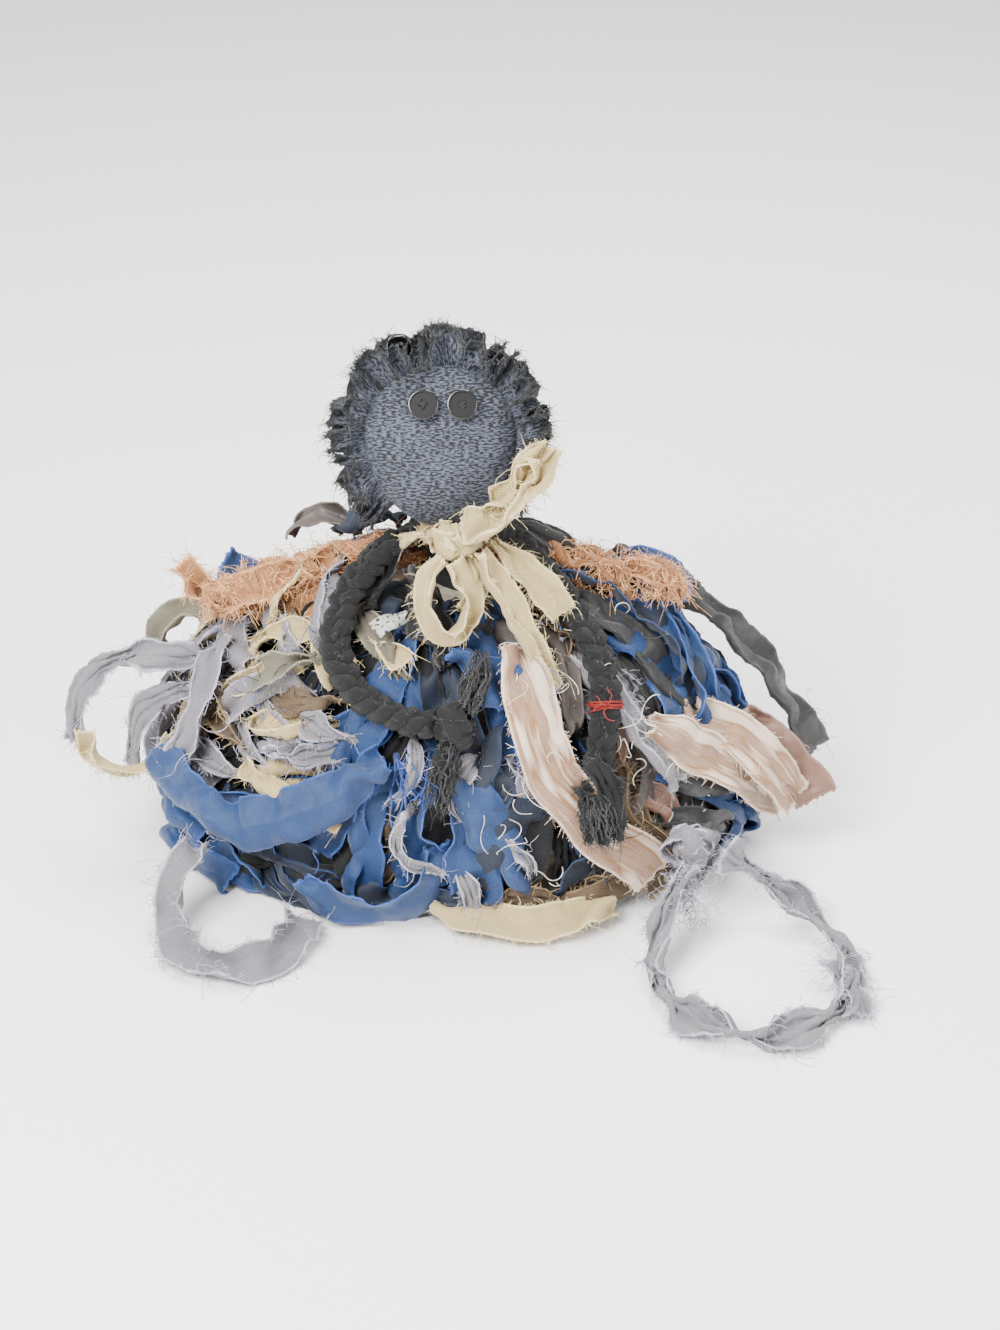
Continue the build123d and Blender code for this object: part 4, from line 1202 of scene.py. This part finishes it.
def frill(name, start, end, depth, keys):
    """Gathered frill whose outer edge loops to and fro, like a torn raw edge."""
    rng = seeded(name)
    line = smooth(keys, 40)
    count = len(line)
    columns = 16
    angle = np.radians(np.linspace(start, end, count))
    foot_reach = outline_reach(angle) * 0.93
    foot = on_face(foot_reach * np.cos(angle), foot_reach * np.sin(angle), depth + 0 * angle)
    away = HEAD_RIGHT * np.cos(angle)[:, None] + HEAD_UP * np.sin(angle)[:, None]
    around = HEAD_UP * np.cos(angle)[:, None] - HEAD_RIGHT * np.sin(angle)[:, None]
    swing, sideways, reach = line[:, 0:1], line[:, 1:2], line[:, 2:3]
    v = np.linspace(0, 1, columns + 1)[None, :]
    at = np.linspace(0, np.radians(abs(end - start)) * FRILL_RADIUS, count)[:, None]
    fold = 2 * np.pi * at / FOLD_PITCH + drift(at, rng, 30, 1.6)
    reach = reach * FRILL_REACH
    lean = swing * (0.35 + 1.15 * v) + FOLD_LEAN * np.sin(fold) * v
    step = reach * 1.15 / columns
    outward = np.concatenate([np.zeros((count, 1)), np.cumsum(np.cos(lean[:, 1:]), axis=1)], axis=1) * step
    forward = np.concatenate([np.zeros((count, 1)), np.cumsum(np.sin(lean[:, 1:]), axis=1)], axis=1) * step
    slide = sideways * 6.0 * v**1.3 + FOLD_SLIDE * np.cos(fold) * v**1.3
    push = ripple(at, v * reach, rng, 7, 0.35) * v + ripple(at, v * reach, rng, 3.2, 0.3) * v**3
    grid = (
        foot[:, None]
        + away[:, None] * outward[..., None]
        + HEAD_OUT * (forward + push)[..., None]
        + around[:, None] * slide[..., None]
    )
    grid[:, -1] += rng.normal(0, 0.45, (count, 3))
    flat = np.stack([at + 0 * v, v * reach + 0 * at], axis=-1)
    near = np.minimum((1 - v) * reach + 0 * at, np.minimum(at, at[-1] - at) + 0 * v)
    return Cloth(grid, flat[..., ::-1], near)


def make_head():
    piece = ball_mesh("head_pad", head_shape, 6)
    dress(piece, "charcoal_denim")
    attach(piece, "head")
    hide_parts("head_cover")
    for name, (start, end, depth, keys) in FRILLS.items():
        cloth = frill(name, start, end, depth, keys)
        sheet_piece(name + "_frill", cloth, "charcoal_denim", "head", [name], "rse", 1.0)


# ---------------------------------------------------------------- body cover and neck


def body_shape(points):
    rng = seeded("body")
    half = np.array([HALF_WIDTH, HALF_DEPTH, HALF_HEIGHT])
    placed = points * half * (0.985 + lumps(points, rng, 0.5, 0.012))[:, None]
    placed[:, 2] = np.maximum(placed[:, 2], BASE_TOP + 0.1)
    flat = np.stack([np.arctan2(points[:, 0], -points[:, 1]) * 100, placed[:, 2]], axis=1)
    return placed, flat, np.full(len(points), 12.0)


def make_body():
    piece = ball_mesh("body_cover", body_shape, 6)
    # The bag's near-black cloth is partly its own colour and partly painted shade for the gaps between strips
    dress(piece, "dark_cloth")
    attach(piece, "figure")
    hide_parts("body_bag")
    neck("neck_wrap", "figure", ["neck_sleeve"], HALF_HEIGHT - 5, HALF_HEIGHT + 25, 13, 12.5, 9)
    neck("neck_gathers", "head", ["neck_gather"], HALF_HEIGHT + 27, HALF_HEIGHT + 53, 11, 9.5, 11)


def neck(name, body, nodes, low, high, low_radius, high_radius, pleats):
    """Gathered sleeve of dark cloth round the neck."""
    turn = np.linspace(0, 2 * np.pi, 97)[:, None]
    up = np.linspace(0, 1, 15)[None, :]
    radius = low_radius + (high_radius - low_radius) * up + 0.9 * np.sin(turn * pleats + 2 * up) + 0.5 * np.sin(turn * 23)
    height = low + (high - low) * up
    grid = np.stack([radius * np.cos(turn) - 1.5 * up, radius * np.sin(turn) + 2 * up, height + 0 * turn], axis=-1)
    flat = np.stack([turn * low_radius + 0 * up, height + 0 * turn], axis=-1)
    cloth = Cloth(grid, flat, np.full(radius.shape, 9.0))
    piece = grid_mesh(name, cloth)
    thicken(piece)
    dress(piece, "dark_cloth")
    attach(piece, body)
    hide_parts(*nodes)


# ---------------------------------------------------------------- arms


def tube_frame(points):
    along = unit(np.gradient(points, axis=0))
    up = unit(np.array([0, 0, 1.0]) - along * along[:, 2:3])
    return along, up, np.cross(along, up)


ARM_LEFT = [(-19, -1, WIRE_HEIGHT), (-60, -8, WIRE_HEIGHT - 8), (-100, -10, WIRE_HEIGHT - 20), (-125, -10, WIRE_HEIGHT - 25)]
ARM_RIGHT = [(19, -1, WIRE_HEIGHT), (55, -8, WIRE_HEIGHT - 5), (80, -10, WIRE_HEIGHT - 12), (114, -10, WIRE_HEIGHT - 17)]


def wound(name, controls, radius, turns, width, lie, body="figure", nodes=(), start_turn=0.0, fray=1.0):
    """Strip wound round an arm."""
    centre, = evenly(smooth(controls), 1.0)
    along, up, side = tube_frame(centre)
    share = np.linspace(0, 1, len(centre))[:, None]
    angle = 2 * np.pi * (start_turn + turns * share)
    out = up * np.cos(angle) + side * np.sin(angle)
    path, out = evenly(centre + out * radius, 2.0, out)
    cloth = lay(name, path, unit(out), width, lie, 14)
    return sheet_piece(name, cloth, "peach_cloth", body, nodes, "lrse", fray)


def fluff(name, controls, radii, count, length, kind, body, radius=0.00022):
    """Cloud of short curly threads round a line."""
    rng = seeded(name)
    rows = smooth([(*c, r) for c, r in zip(controls, radii)])
    centre, size = evenly(rows[:, :3], 1.0, rows[:, 3:4])
    along, up, side = tube_frame(centre)
    strands = []
    for _ in range(count):
        k = rng.integers(0, len(centre))
        angle = rng.uniform(0, 2 * np.pi)
        out = up[k] * math.cos(angle) + side[k] * math.sin(angle)
        start = centre[k] + out * size[k, 0] * rng.uniform(0.75, 1.0)
        heading = out * 0.7 + along[k] * rng.normal(0, 0.9) + np.cross(out, along[k]) * rng.normal(0, 0.9)
        strands.append(wandering(rng, start, heading, length * rng.uniform(0.5, 1.4), out * 0.2, 5, 0.8))
    return thread_piece(name, strands, kind, body, radius)


def flap(name, start, end, bow, width, lie, face=(0, -0.8, 0.8)):
    """Torn flap of the arm's cloth."""
    points = bowed(start, end, bow)
    strip(name, "peach_cloth", width, points, lie, "ff", facings=[face] * len(points), fray=1.3)


def make_arms():
    wound("arm_wrap_left_wound", ARM_LEFT, 7.0, 3.5, 22, "gathered", nodes=["arm_wrap_left"])
    wound("arm_wrap_left_over", ARM_LEFT, 8.5, 2.5, 20, "bunched", start_turn=0.4)
    flap("arm_flap_left", (-60, -14, 162), (-112, -17, 142), (0, 0, 2), 20, "cupped")
    flap("arm_flap_left_front", (-45, -18, 158), (-85, -20, 136), (0, 0, -3), 16, "soft", (0, -1, 0.5))
    flap("arm_tip_left", (-106, -14, 142), (-138, -14, 158), (-2, 0, -9), 19, "cupped", (0.3, -0.7, 0.8))
    wound("arm_wrap_right_wound", ARM_RIGHT, 7.0, 3.5, 20, "gathered", nodes=["arm_wrap_right"])
    wound("arm_wrap_right_over", ARM_RIGHT, 8.5, 3.0, 18, "bunched", start_turn=0.3)
    flap("arm_flap_right", (62, -16, 164), (114, -16, 151), (0, 0, 2), 16, "bunched")
    fluff("arm_fluff_left", ARM_LEFT, (9, 11, 12, 10), 360, 11, "peach_cloth", "figure")
    fluff("arm_fluff_right", ARM_RIGHT, (9, 11, 12, 9), 460, 9, "peach_cloth", "figure")


# ---------------------------------------------------------------- braids

# The cords' routes, point for point as in the CAD
BRAID_LEFT = [
    (-28, -28, 180),
    (-45, -35, 170),
    (-55, -48, 155),
    (-60, -62, 138),
    (-50, -76, 122),
    (-30, -86, 112),
    (-10, -90, 110),
]
BRAID_RIGHT = [
    (25, -25, 184),
    (40, -30, 172),
    (55, -40, 156),
    (68, -52, 140),
    (76, -64, 122),
    (76, -78, 100),
    (70, -91, 75),
]
BRAID_PITCH = 25.0


def spline_points(name, controls):
    """Points of the smooth line that a cord's control points give, in millimetres."""
    curve = bpy.data.curves.new(name, "CURVE")
    curve.dimensions = "3D"
    curve.resolution_u = 16
    spline = curve.splines.new("NURBS")
    spline.points.add(len(controls) - 1)
    for point, place in zip(spline.points, controls):
        point.co = (*(v * MM for v in place), 1.0)
    spline.order_u = 3
    spline.use_endpoint_u = True
    holder = bpy.data.objects.new(name, curve)
    mesh = bpy.data.meshes.new_from_object(holder)
    found = np.array([v.co[:] for v in mesh.vertices]) / MM
    bpy.data.objects.remove(holder)
    bpy.data.curves.remove(curve)
    bpy.data.meshes.remove(mesh)
    return found


def braid(name, controls, body, nodes):
    """Three fuzzy strands plaited along the cord's line."""
    rng = seeded(name)
    width = bpy.context.scene.rag_sizes.braid_width / MM
    line = spline_points(name + "_line", controls)
    centre, = evenly(line, 1.2)
    along, up, side = tube_frame(centre)
    arc = np.arange(len(centre)) * 1.2
    curve = bpy.data.curves.new(name, "CURVE")
    curve.dimensions = "3D"
    curve.bevel_depth = 0.27 * width * MM
    curve.bevel_resolution = 3
    curve.use_fill_caps = True
    for k in range(3):
        phase = 2 * np.pi * (arc / BRAID_PITCH + k / 3)
        across = 0.27 * width * np.sin(phase)
        deep = 0.15 * width * np.sin(2 * phase)
        path = centre + side * across[:, None] + up * 0 + np.cross(along, side) * deep[:, None]
        spline = curve.splines.new("POLY")
        spline.points.add(len(path) - 1)
        spline.points.foreach_set("co", np.hstack([path * MM, np.ones((len(path), 1))]).ravel())
        spline.points.foreach_set("radius", 1 + 0.12 * np.sin(arc / 2.1 + k) + rng.normal(0, 0.04, len(path)))
    holder = bpy.data.objects.new(name + "_strands", curve)
    mesh = bpy.data.meshes.new_from_object(holder)
    bpy.data.objects.remove(holder)
    mesh.name = name
    co = np.empty(len(mesh.vertices) * 3)
    mesh.vertices.foreach_get("co", co)
    co = co.reshape(-1, 3)
    shove = [noise.noise_vector(Vector(p) * 420) * 0.0007 + noise.noise_vector(Vector(p) * 160) * 0.0009 for p in co]
    mesh.vertices.foreach_set("co", (co + np.array(shove)).ravel())
    mesh.polygons.foreach_set("use_smooth", [True] * len(mesh.polygons))
    if not mesh.uv_layers:
        mesh.uv_layers.new(name="flat")
    mesh.uv_layers[0].name = "flat"
    mesh.attributes.new("edge", "FLOAT", "POINT").data.foreach_set("value", [9.0] * len(mesh.vertices))
    piece = bpy.data.objects.new(name + "_strands", mesh)
    bpy.context.scene.collection.objects.link(piece)
    mesh.materials.clear()
    dress(piece, "black_yarn")
    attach(piece, body)
    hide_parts(*nodes)
    strands = []
    for _ in range(300):
        k = rng.integers(1, len(centre) - 1)
        angle = rng.uniform(0, 2 * np.pi)
        out = up[k] * math.cos(angle) + side[k] * math.sin(angle)
        start = centre[k] + out * width * 0.42
        heading = out * 0.5 + along[k] * rng.normal(0, 1) + np.cross(out, along[k]) * rng.normal(0, 0.7)
        strands.append(wandering(rng, start, heading, rng.uniform(2, 7), out * 0.1, 4, 0.6))
    fuzz = thread_piece(name + "_fuzz", strands, "black_yarn", body, 0.00014)
    return piece


def tassel(name, paths, count, body, nodes, radius=0.00045):
    """Bundles of frayed yarn along lines, wider where their radii say so."""
    rng = seeded(name)
    strands = []
    for controls, radii in paths:
        rows = smooth([(*c, r) for c, r in zip(controls, radii)])
        centre, size = evenly(rows[:, :3], 2.0, rows[:, 3:4])
        along, up, side = tube_frame(centre)
        for _ in range(count):
            angle = rng.uniform(0, 2 * np.pi)
            far = math.sqrt(rng.uniform(0, 1))
            first = rng.integers(0, max(1, len(centre) // 2))
            last = rng.integers(len(centre) // 2, len(centre))
            reach = far * size * 1.05
            wobble = np.stack([drift(np.arange(len(centre)) * 2.0, rng, 12, 1.3) for _ in range(3)], axis=1)
            line = centre + up * math.cos(angle) * reach + side * math.sin(angle) * reach + wobble
            strands.append(line[first : last + 1] if last - first > 2 else line)
    piece = thread_piece(name, strands, "black_yarn", body, radius)
    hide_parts(*nodes)
    return piece


def make_braids():
    ends = tassel("braid_left_ends", [([(7, -88, 117), (12, -80, 130), (14, -73, 143)], (6, 7, 4)),
                                      ([(0, -92, 104), (-4, -97, 88), (-7, -102, 70)], (5, 8, 9))], 90, "left_braid",
                  ["braid_left_ends"])
    heart = knot("braid_left_knot", (0.5, -90, 110), (10, 9, 9), "black_yarn", "left_braid", ["braid_left_knot"],
                 [((1, 0.2, 0.3), 0, 13), ((0.2, 0.3, 1), 0, 12)])
    braid("braid_left", BRAID_LEFT, "left_braid", ["braid_left"])
    ends = tassel("braid_right_end", [([(69, -93, 74), (73, -97, 64), (76, -101, 52)], (8, 11, 11))], 130, "right_braid",
                  ["braid_right_end"])
    tie = red_tie()
    braid("braid_right", BRAID_RIGHT, "right_braid", ["braid_right"])
    for name, body, width, start, end in (
        ("black_scrap_front", "right_braid", 20, (68, -95, 92), (82, -106, 56)),
        ("black_scrap_side", "right_braid", 16, (62, -98, 78), (72, -108, 54)),
        ("black_scrap_left", "left_braid", 14, (-4, -98, 100), (-8, -106, 72)),
    ):
        points = bowed(start, end, (4, 0, 0))
        strip(name, "black_yarn", width, points, "bunched", "ff", [], body, [(0, -0.9, 0.4)] * len(points))


def red_tie():
    """Red thread wound a few times round the right braid."""
    rng = seeded("red_tie")
    low, high = np.array(BRAID_RIGHT[5], float), np.array(BRAID_RIGHT[4], float)
    axis = unit(high - low)
    first = unit(np.cross(axis, (0, 0, 1.0)))
    second = np.cross(axis, first)
    middle = (low + high) / 2
    strands = []
    for k in range(9):
        turn = np.linspace(0, 2 * np.pi, 26)[:, None]
        shift = axis * (rng.uniform(-2.2, 2.2) + rng.normal(0, 1.0) * np.sin(turn + rng.uniform(0, 6)))
        strands.append(middle + (first * np.cos(turn) + second * np.sin(turn)) * rng.uniform(8.2, 9.0) + shift)
    for _ in range(4):
        strands.append(wandering(rng, middle - second * 8.5, (0.5, -1, 0.2), rng.uniform(8, 16), np.array([0, -1, 0.0])))
    curve = thread_piece("red_tie", strands, "white", "right_braid", 0.00035)
    curve.data.materials.clear()
    curve.data.materials.append(plain_material("red_thread"))
    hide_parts("braid_right_tie")
    return curve


# ---------------------------------------------------------------- scarf, loops, loose threads


def scarf_strip(name, width, start, end, bow, face, lie, ends, body="figure", nodes=()):
    """Strip of the scarf whose ends are given from the middle of its knot."""
    points = bowed(KNOT + np.array(start), KNOT + np.array(end), bow)
    strip(name, "cream_twill", width, points, lie, ends, nodes, body, [face] * len(points))


def make_scarf():
    for i, (radius, low, width) in enumerate(((19, 26, 17), (20, 32, 16))):
        turn = np.linspace(0, 2 * np.pi, 90)[:, None]
        ahead = 4 + 14 * np.maximum(np.cos(turn), 0) ** 3
        path = np.hstack([radius * np.sin(turn), -(radius + 2) * np.cos(turn) - ahead,
                          HALF_HEIGHT + low + 3 * np.cos(turn)])
        out = np.hstack([np.sin(turn), -np.cos(turn), 0.2 + 0 * turn])
        path, out = evenly(path, 2.2, out)
        name = f"scarf_wrap_{i}"
        cloth = lay(name, path, unit(out), width, "gathered" if i else "bunched", 14)
        sheet_piece(name, cloth, "cream_twill", "figure", ["scarf_band"] if i == 0 else [], "lr", 0.5)
    clear_of_chin = KNOT + np.array([0, -3, -3])
    knot("scarf_knot_cloth", clear_of_chin, (10, 7, 9), "cream_twill", "figure", ["scarf_knot"],
         [((0.05, 0.2, 1), 0.0, 15), ((1, 0.1, 0.5), 0.1, 12)])
    up_face = (-0.5, -0.8, 0.5)
    scarf_strip("scarf_upper", 32, (9, -5, 6), (47, 6, 45), (3, -4, -2), up_face, "bunched", "tf",
                nodes=["scarf_loop_upper"])
    scarf_strip("scarf_upper_inner", 24, (6, -8, 8), (40, 2, 40), (5, -4, -4), up_face, "rolled", "tf")
    scarf_strip("scarf_tail_long_cloth", 18, (15, -9, -4), (50, -26, -73), (2, -2, 0), (0.1, -0.8, 0.5), "folded",
                "tf", "scarf_tail", ["scarf_tail_long"])
    scarf_strip("scarf_tail_short", 17, (20, 2, -6), (54, -8, -38), (2, -2, 3), (0.2, -0.8, 0.6), "soft", "tf")
    scarf_strip("scarf_scrap", 13, (8, -6, -8), (6, -12, -34), (5, -3, 0), (0.2, -0.9, 0.3), "soft", "tf")
    scarf_strip("scarf_frill_left", 14, (-8, -4, 2), (-24, -2, -3), (0, -2, 4), (-0.3, -0.8, 0.5), "gathered", "tf")
    centre = np.array([-2, -63, HALF_HEIGHT + 13])
    points = arched(centre, (11, 0, 0), (0, 5, 19), 110, 430, 13)
    faces = unit(points - centre) + np.array([0, -0.8, 0])
    strip("scarf_lower", "cream_twill", 17, points, "cupped", "tt", ["scarf_loop_lower"], "figure", faces)


def make_loops():
    points, faces = ring_points((148, -150), (48, 55), 127, 463, 115, 32)
    strip("right_loop_ring", "light_grey", 26, points, "bunched", "ff", ["right_floor_loop"], "right_loop", faces, 1.2)
    knot("right_loop_tie", RIGHT_KNOT, (11, 9, 9), "light_grey", "right_loop", ["right_loop_knot"],
         [((1, 0.1, 0.6), 0, 13), ((0.1, 1, 0.4), 0, 12)])
    points, faces = ring_points((-109, -112), (32, 36), 130, 370, 130, 26)
    strip("left_loop_ring", "light_grey", 24, points, "cupped", "ff", ["left_floor_loop"], "left_loop", faces, 1.4)
    points = bowed((184, -150, 10), (198, -184, 5), (3, 0, 0))
    strip("right_loop_end", "light_grey", 15, points, "gathered", "ff", [], "right_loop", [(0.4, -0.6, 1)] * len(points), 1.6)
    rng = seeded("loop bunch")
    strands = []
    for drop in (16, 28):
        start = RIGHT_KNOT + np.array([-2, -drop, -0.7 * drop])
        for _ in range(70):
            strands.append(wandering(rng, start + rng.normal(0, 4, 3), rng.normal(0, 1, 3), rng.uniform(8, 22),
                                     np.array([-0.2, -0.8, 0.3]), 8, 0.8))
    thread_piece("right_loop_bunch", strands, "light_grey", "right_loop", 0.0002)


# Strips down the back, as the CAD has them: cloth, layer, lie and bearings
BACK_STRIPS = {
    "back_strips_grey": ("light_grey", 1, "soft", (-112, 112)),
    "back_strips_blue": ("royal_blue", 0, "arched", (-136, 136)),
    "back_strip_cream": ("cream_twill", 1, "cupped", (-160,)),
    "back_strip_black": ("black_lining", 0, "soft", (178,)),
}


def make_back():
    for part, (kind, layer, lie, bearings) in BACK_STRIPS.items():
        for i, bearing in enumerate(bearings):
            off = FIRST_LAYER + LAYER_PITCH * layer + PUFF
            controls = bowed((bearing, 138, off - PUFF), (bearing - math.copysign(6, bearing), 14, off - PUFF + 3), (0, 0, 3))
            strip(f"{part}_{i}", kind, 25, controls, lie, "tf", [part] if i == 0 else [])


def make_loose_threads():
    """Long stray threads that lie over the strips."""
    rng = seeded("loose")
    for name, kind, count, low, high, bearings, standoff in (
        ("loose_white", "white", 34, 12, 34, (5, 62), 20),
        ("loose_grey", "light_grey", 26, 10, 30, (-92, -40), 20),
        ("loose_blue", "royal_blue", 22, 10, 30, (-80, 75), 20),
        ("loose_black", "black_yarn", 26, 12, 36, (-60, 75), 20),
        ("loose_back", "white", 20, 8, 16, (100, 260), 9),
    ):
        strands = []
        for _ in range(count):
            row = np.array([[rng.uniform(*bearings), rng.uniform(20, 132), standoff + rng.uniform(0, 8)]])
            start, out = over_body(row)
            strands.append(wandering(rng, start[0], rng.normal(0, 1, 3), rng.uniform(low, high), out[0] * 0.4, 12, 0.45))
        thread_piece(name, strands, kind, "figure", 0.00024)
    strands = []
    for _ in range(60):
        start, out = over_body(np.array([[rng.uniform(-14, -3), rng.uniform(80, 90), rng.uniform(14, 20)]]))
        strands.append(wandering(rng, start[0], np.array([0.05, -0.2, -1]) + rng.normal(0, 0.25, 3), rng.uniform(12, 26),
                                 out[0] * 0.2, 8, 0.25))
    thread_piece("blue_tassel", strands, "royal_blue", "figure", 0.0004)


# ---------------------------------------------------------------- CAD nodes that stay


def finish_cad_nodes():
    """Materials of the CAD nodes whose own shape stays in view."""
    for name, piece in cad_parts.items():
        if piece.hide_render:
            continue
        kind = CAD_FINISHES.get(name)
        if kind is None:
            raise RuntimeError(f"CAD node {name} is still shown and has no finish")
        piece.data.materials.clear()
        piece.data.materials.append(plain_material(kind))


CAD_FINISHES = {
    "base_panel": "stuffing",
    "body_stuffing": "stuffing",
    "head_stuffing": "stuffing",
    "arm_wire": "wire",
    "post": "wood",
    "crown_button": "black_button",
    "eye_button_left": "black_button",
    "eye_button_right": "black_button",
    "eye_thread_left": "black_thread",
    "eye_thread_right": "black_thread",
}


# ---------------------------------------------------------------- operators


class RAG_OT_body(bpy.types.Operator):
    """Lay the dark bag and the neck over the stuffed body"""

    bl_idname = "rag.body"
    bl_label = "Body"

    def execute(self, context):
        make_body()
        return {"FINISHED"}


class RAG_OT_fill(bpy.types.Operator):
    """Fill the heap with strips all round"""

    bl_idname = "rag.fill"
    bl_label = "Filling strips"

    def execute(self, context):
        make_thickets()
        make_back()
        return {"FINISHED"}


class RAG_OT_front(bpy.types.Operator):
    """Lay the strips of the front and sides"""

    bl_idname = "rag.front"
    bl_label = "Front strips"

    def execute(self, context):
        make_node_strips()
        make_free_strips()
        return {"FINISHED"}


class RAG_OT_scarf(bpy.types.Operator):
    """Wind and knot the scarf"""

    bl_idname = "rag.scarf"
    bl_label = "Scarf"

    def execute(self, context):
        make_scarf()
        return {"FINISHED"}


class RAG_OT_arms(bpy.types.Operator):
    """Wrap both arms in torn peach cloth"""

    bl_idname = "rag.arms"
    bl_label = "Arm wraps"

    def execute(self, context):
        make_arms()
        return {"FINISHED"}


class RAG_OT_loops(bpy.types.Operator):
    """Tie the two loops that rest on the floor"""

    bl_idname = "rag.loops"
    bl_label = "Floor loops"

    def execute(self, context):
        make_loops()
        return {"FINISHED"}


class RAG_OT_braids(bpy.types.Operator):
    """Plait the two yarn braids"""

    bl_idname = "rag.braids"
    bl_label = "Braids"

    def execute(self, context):
        make_braids()
        return {"FINISHED"}


class RAG_OT_head(bpy.types.Operator):
    """Stuff the head and gather its frills"""

    bl_idname = "rag.head"
    bl_label = "Head"

    def execute(self, context):
        make_head()
        return {"FINISHED"}


class RAG_OT_threads(bpy.types.Operator):
    """Scatter loose threads and give the CAD nodes their finishes"""

    bl_idname = "rag.threads"
    bl_label = "Loose threads"

    def execute(self, context):
        make_loose_threads()
        finish_cad_nodes()
        return {"FINISHED"}


def area_light(name, place, aim, size, power):
    data = bpy.data.lights.new(name, "AREA")
    data.size = size
    data.energy = power
    lamp = bpy.data.objects.new(name, data)
    lamp.location = place
    lamp.rotation_euler = (Vector(aim) - Vector(place)).to_track_quat("-Z", "Y").to_euler()
    bpy.context.scene.collection.objects.link(lamp)


class RAG_OT_stage(bpy.types.Operator):
    """Make the floor, the lights and the camera"""

    bl_idname = "rag.stage"
    bl_label = "Stage"

    def execute(self, context):
        settings = context.scene.rag_stage
        bm = bmesh.new()
        bmesh.ops.create_grid(bm, x_segments=2, y_segments=2, size=6.0)
        mesh = bpy.data.meshes.new("floor")
        bm.to_mesh(mesh)
        bm.free()
        floor = bpy.data.objects.new("floor", mesh)
        made, _, shader = fresh_material("floor")
        shader.inputs["Base Color"].default_value = (*context.scene.rag_colours.floor, 1.0)
        shader.inputs["Roughness"].default_value = 0.9
        mesh.materials.append(made)
        context.scene.collection.objects.link(floor)
        world = bpy.data.worlds.new("studio")
        world.use_nodes = True
        world.node_tree.nodes["Background"].inputs["Color"].default_value = (1.0, 1.0, 1.0, 1.0)
        world.node_tree.nodes["Background"].inputs["Strength"].default_value = 0.6
        context.scene.world = world
        area_light("key", (-0.7, -0.9, 1.3), (0, 0, 0.12), 0.9, settings.key_power)
        area_light("fill", (1.2, -0.8, 0.8), (0, 0, 0.12), 1.0, settings.key_power * 0.3)
        area_light("top", (0.2, 0.5, 1.5), (0, 0, 0.15), 0.8, settings.key_power * 0.45)
        data = bpy.data.cameras.new("camera")
        data.sensor_width = 36.0
        data.lens = settings.lens
        data.dof.use_dof = False
        camera = bpy.data.objects.new("camera", data)
        tilt = settings.elevation
        back = Vector((0, -math.cos(tilt), math.sin(tilt)))
        camera.location = Vector((0.0234, 0, 0.093)) + back * settings.distance
        camera.rotation_euler = (-back).to_track_quat("-Z", "Y").to_euler()
        context.scene.collection.objects.link(camera)
        context.scene.camera = camera
        return {"FINISHED"}


class RAG_PT_panel(bpy.types.Panel):
    """Sizes, colours and the steps that build the scarecrow"""

    bl_label = "Rag Scarecrow"
    bl_space_type = "VIEW_3D"
    bl_region_type = "UI"
    bl_category = "Rag Scarecrow"

    def draw(self, context):
        scene = context.scene
        for group in (scene.rag_sizes, scene.rag_stage, scene.rag_colours):
            for key in group.__annotations__:
                self.layout.prop(group, key)
        for operator in OPERATORS:
            self.layout.operator(operator.bl_idname)


OPERATORS = (RAG_OT_stage, RAG_OT_body, RAG_OT_fill, RAG_OT_front, RAG_OT_scarf, RAG_OT_arms, RAG_OT_loops, RAG_OT_braids,
             RAG_OT_head, RAG_OT_threads)
GROUPS = {"rag_colours": RagColours, "rag_sizes": RagSizes, "rag_stage": RagStage}


def register():
    for kind in (*GROUPS.values(), *OPERATORS, RAG_PT_panel):
        bpy.utils.register_class(kind)
    for name, kind in GROUPS.items():
        setattr(bpy.types.Scene, name, bpy.props.PointerProperty(type=kind))


def unregister():
    for name in GROUPS:
        delattr(bpy.types.Scene, name)
    for kind in reversed((*GROUPS.values(), *OPERATORS, RAG_PT_panel)):
        bpy.utils.unregister_class(kind)


def main():
    register()
    for operator in OPERATORS:
        group, name = operator.bl_idname.split(".")
        if "FINISHED" not in getattr(getattr(bpy.ops, group), name)():
            raise RuntimeError(f"{operator.bl_label} did not finish")


if __name__ == "__main__":
    main()
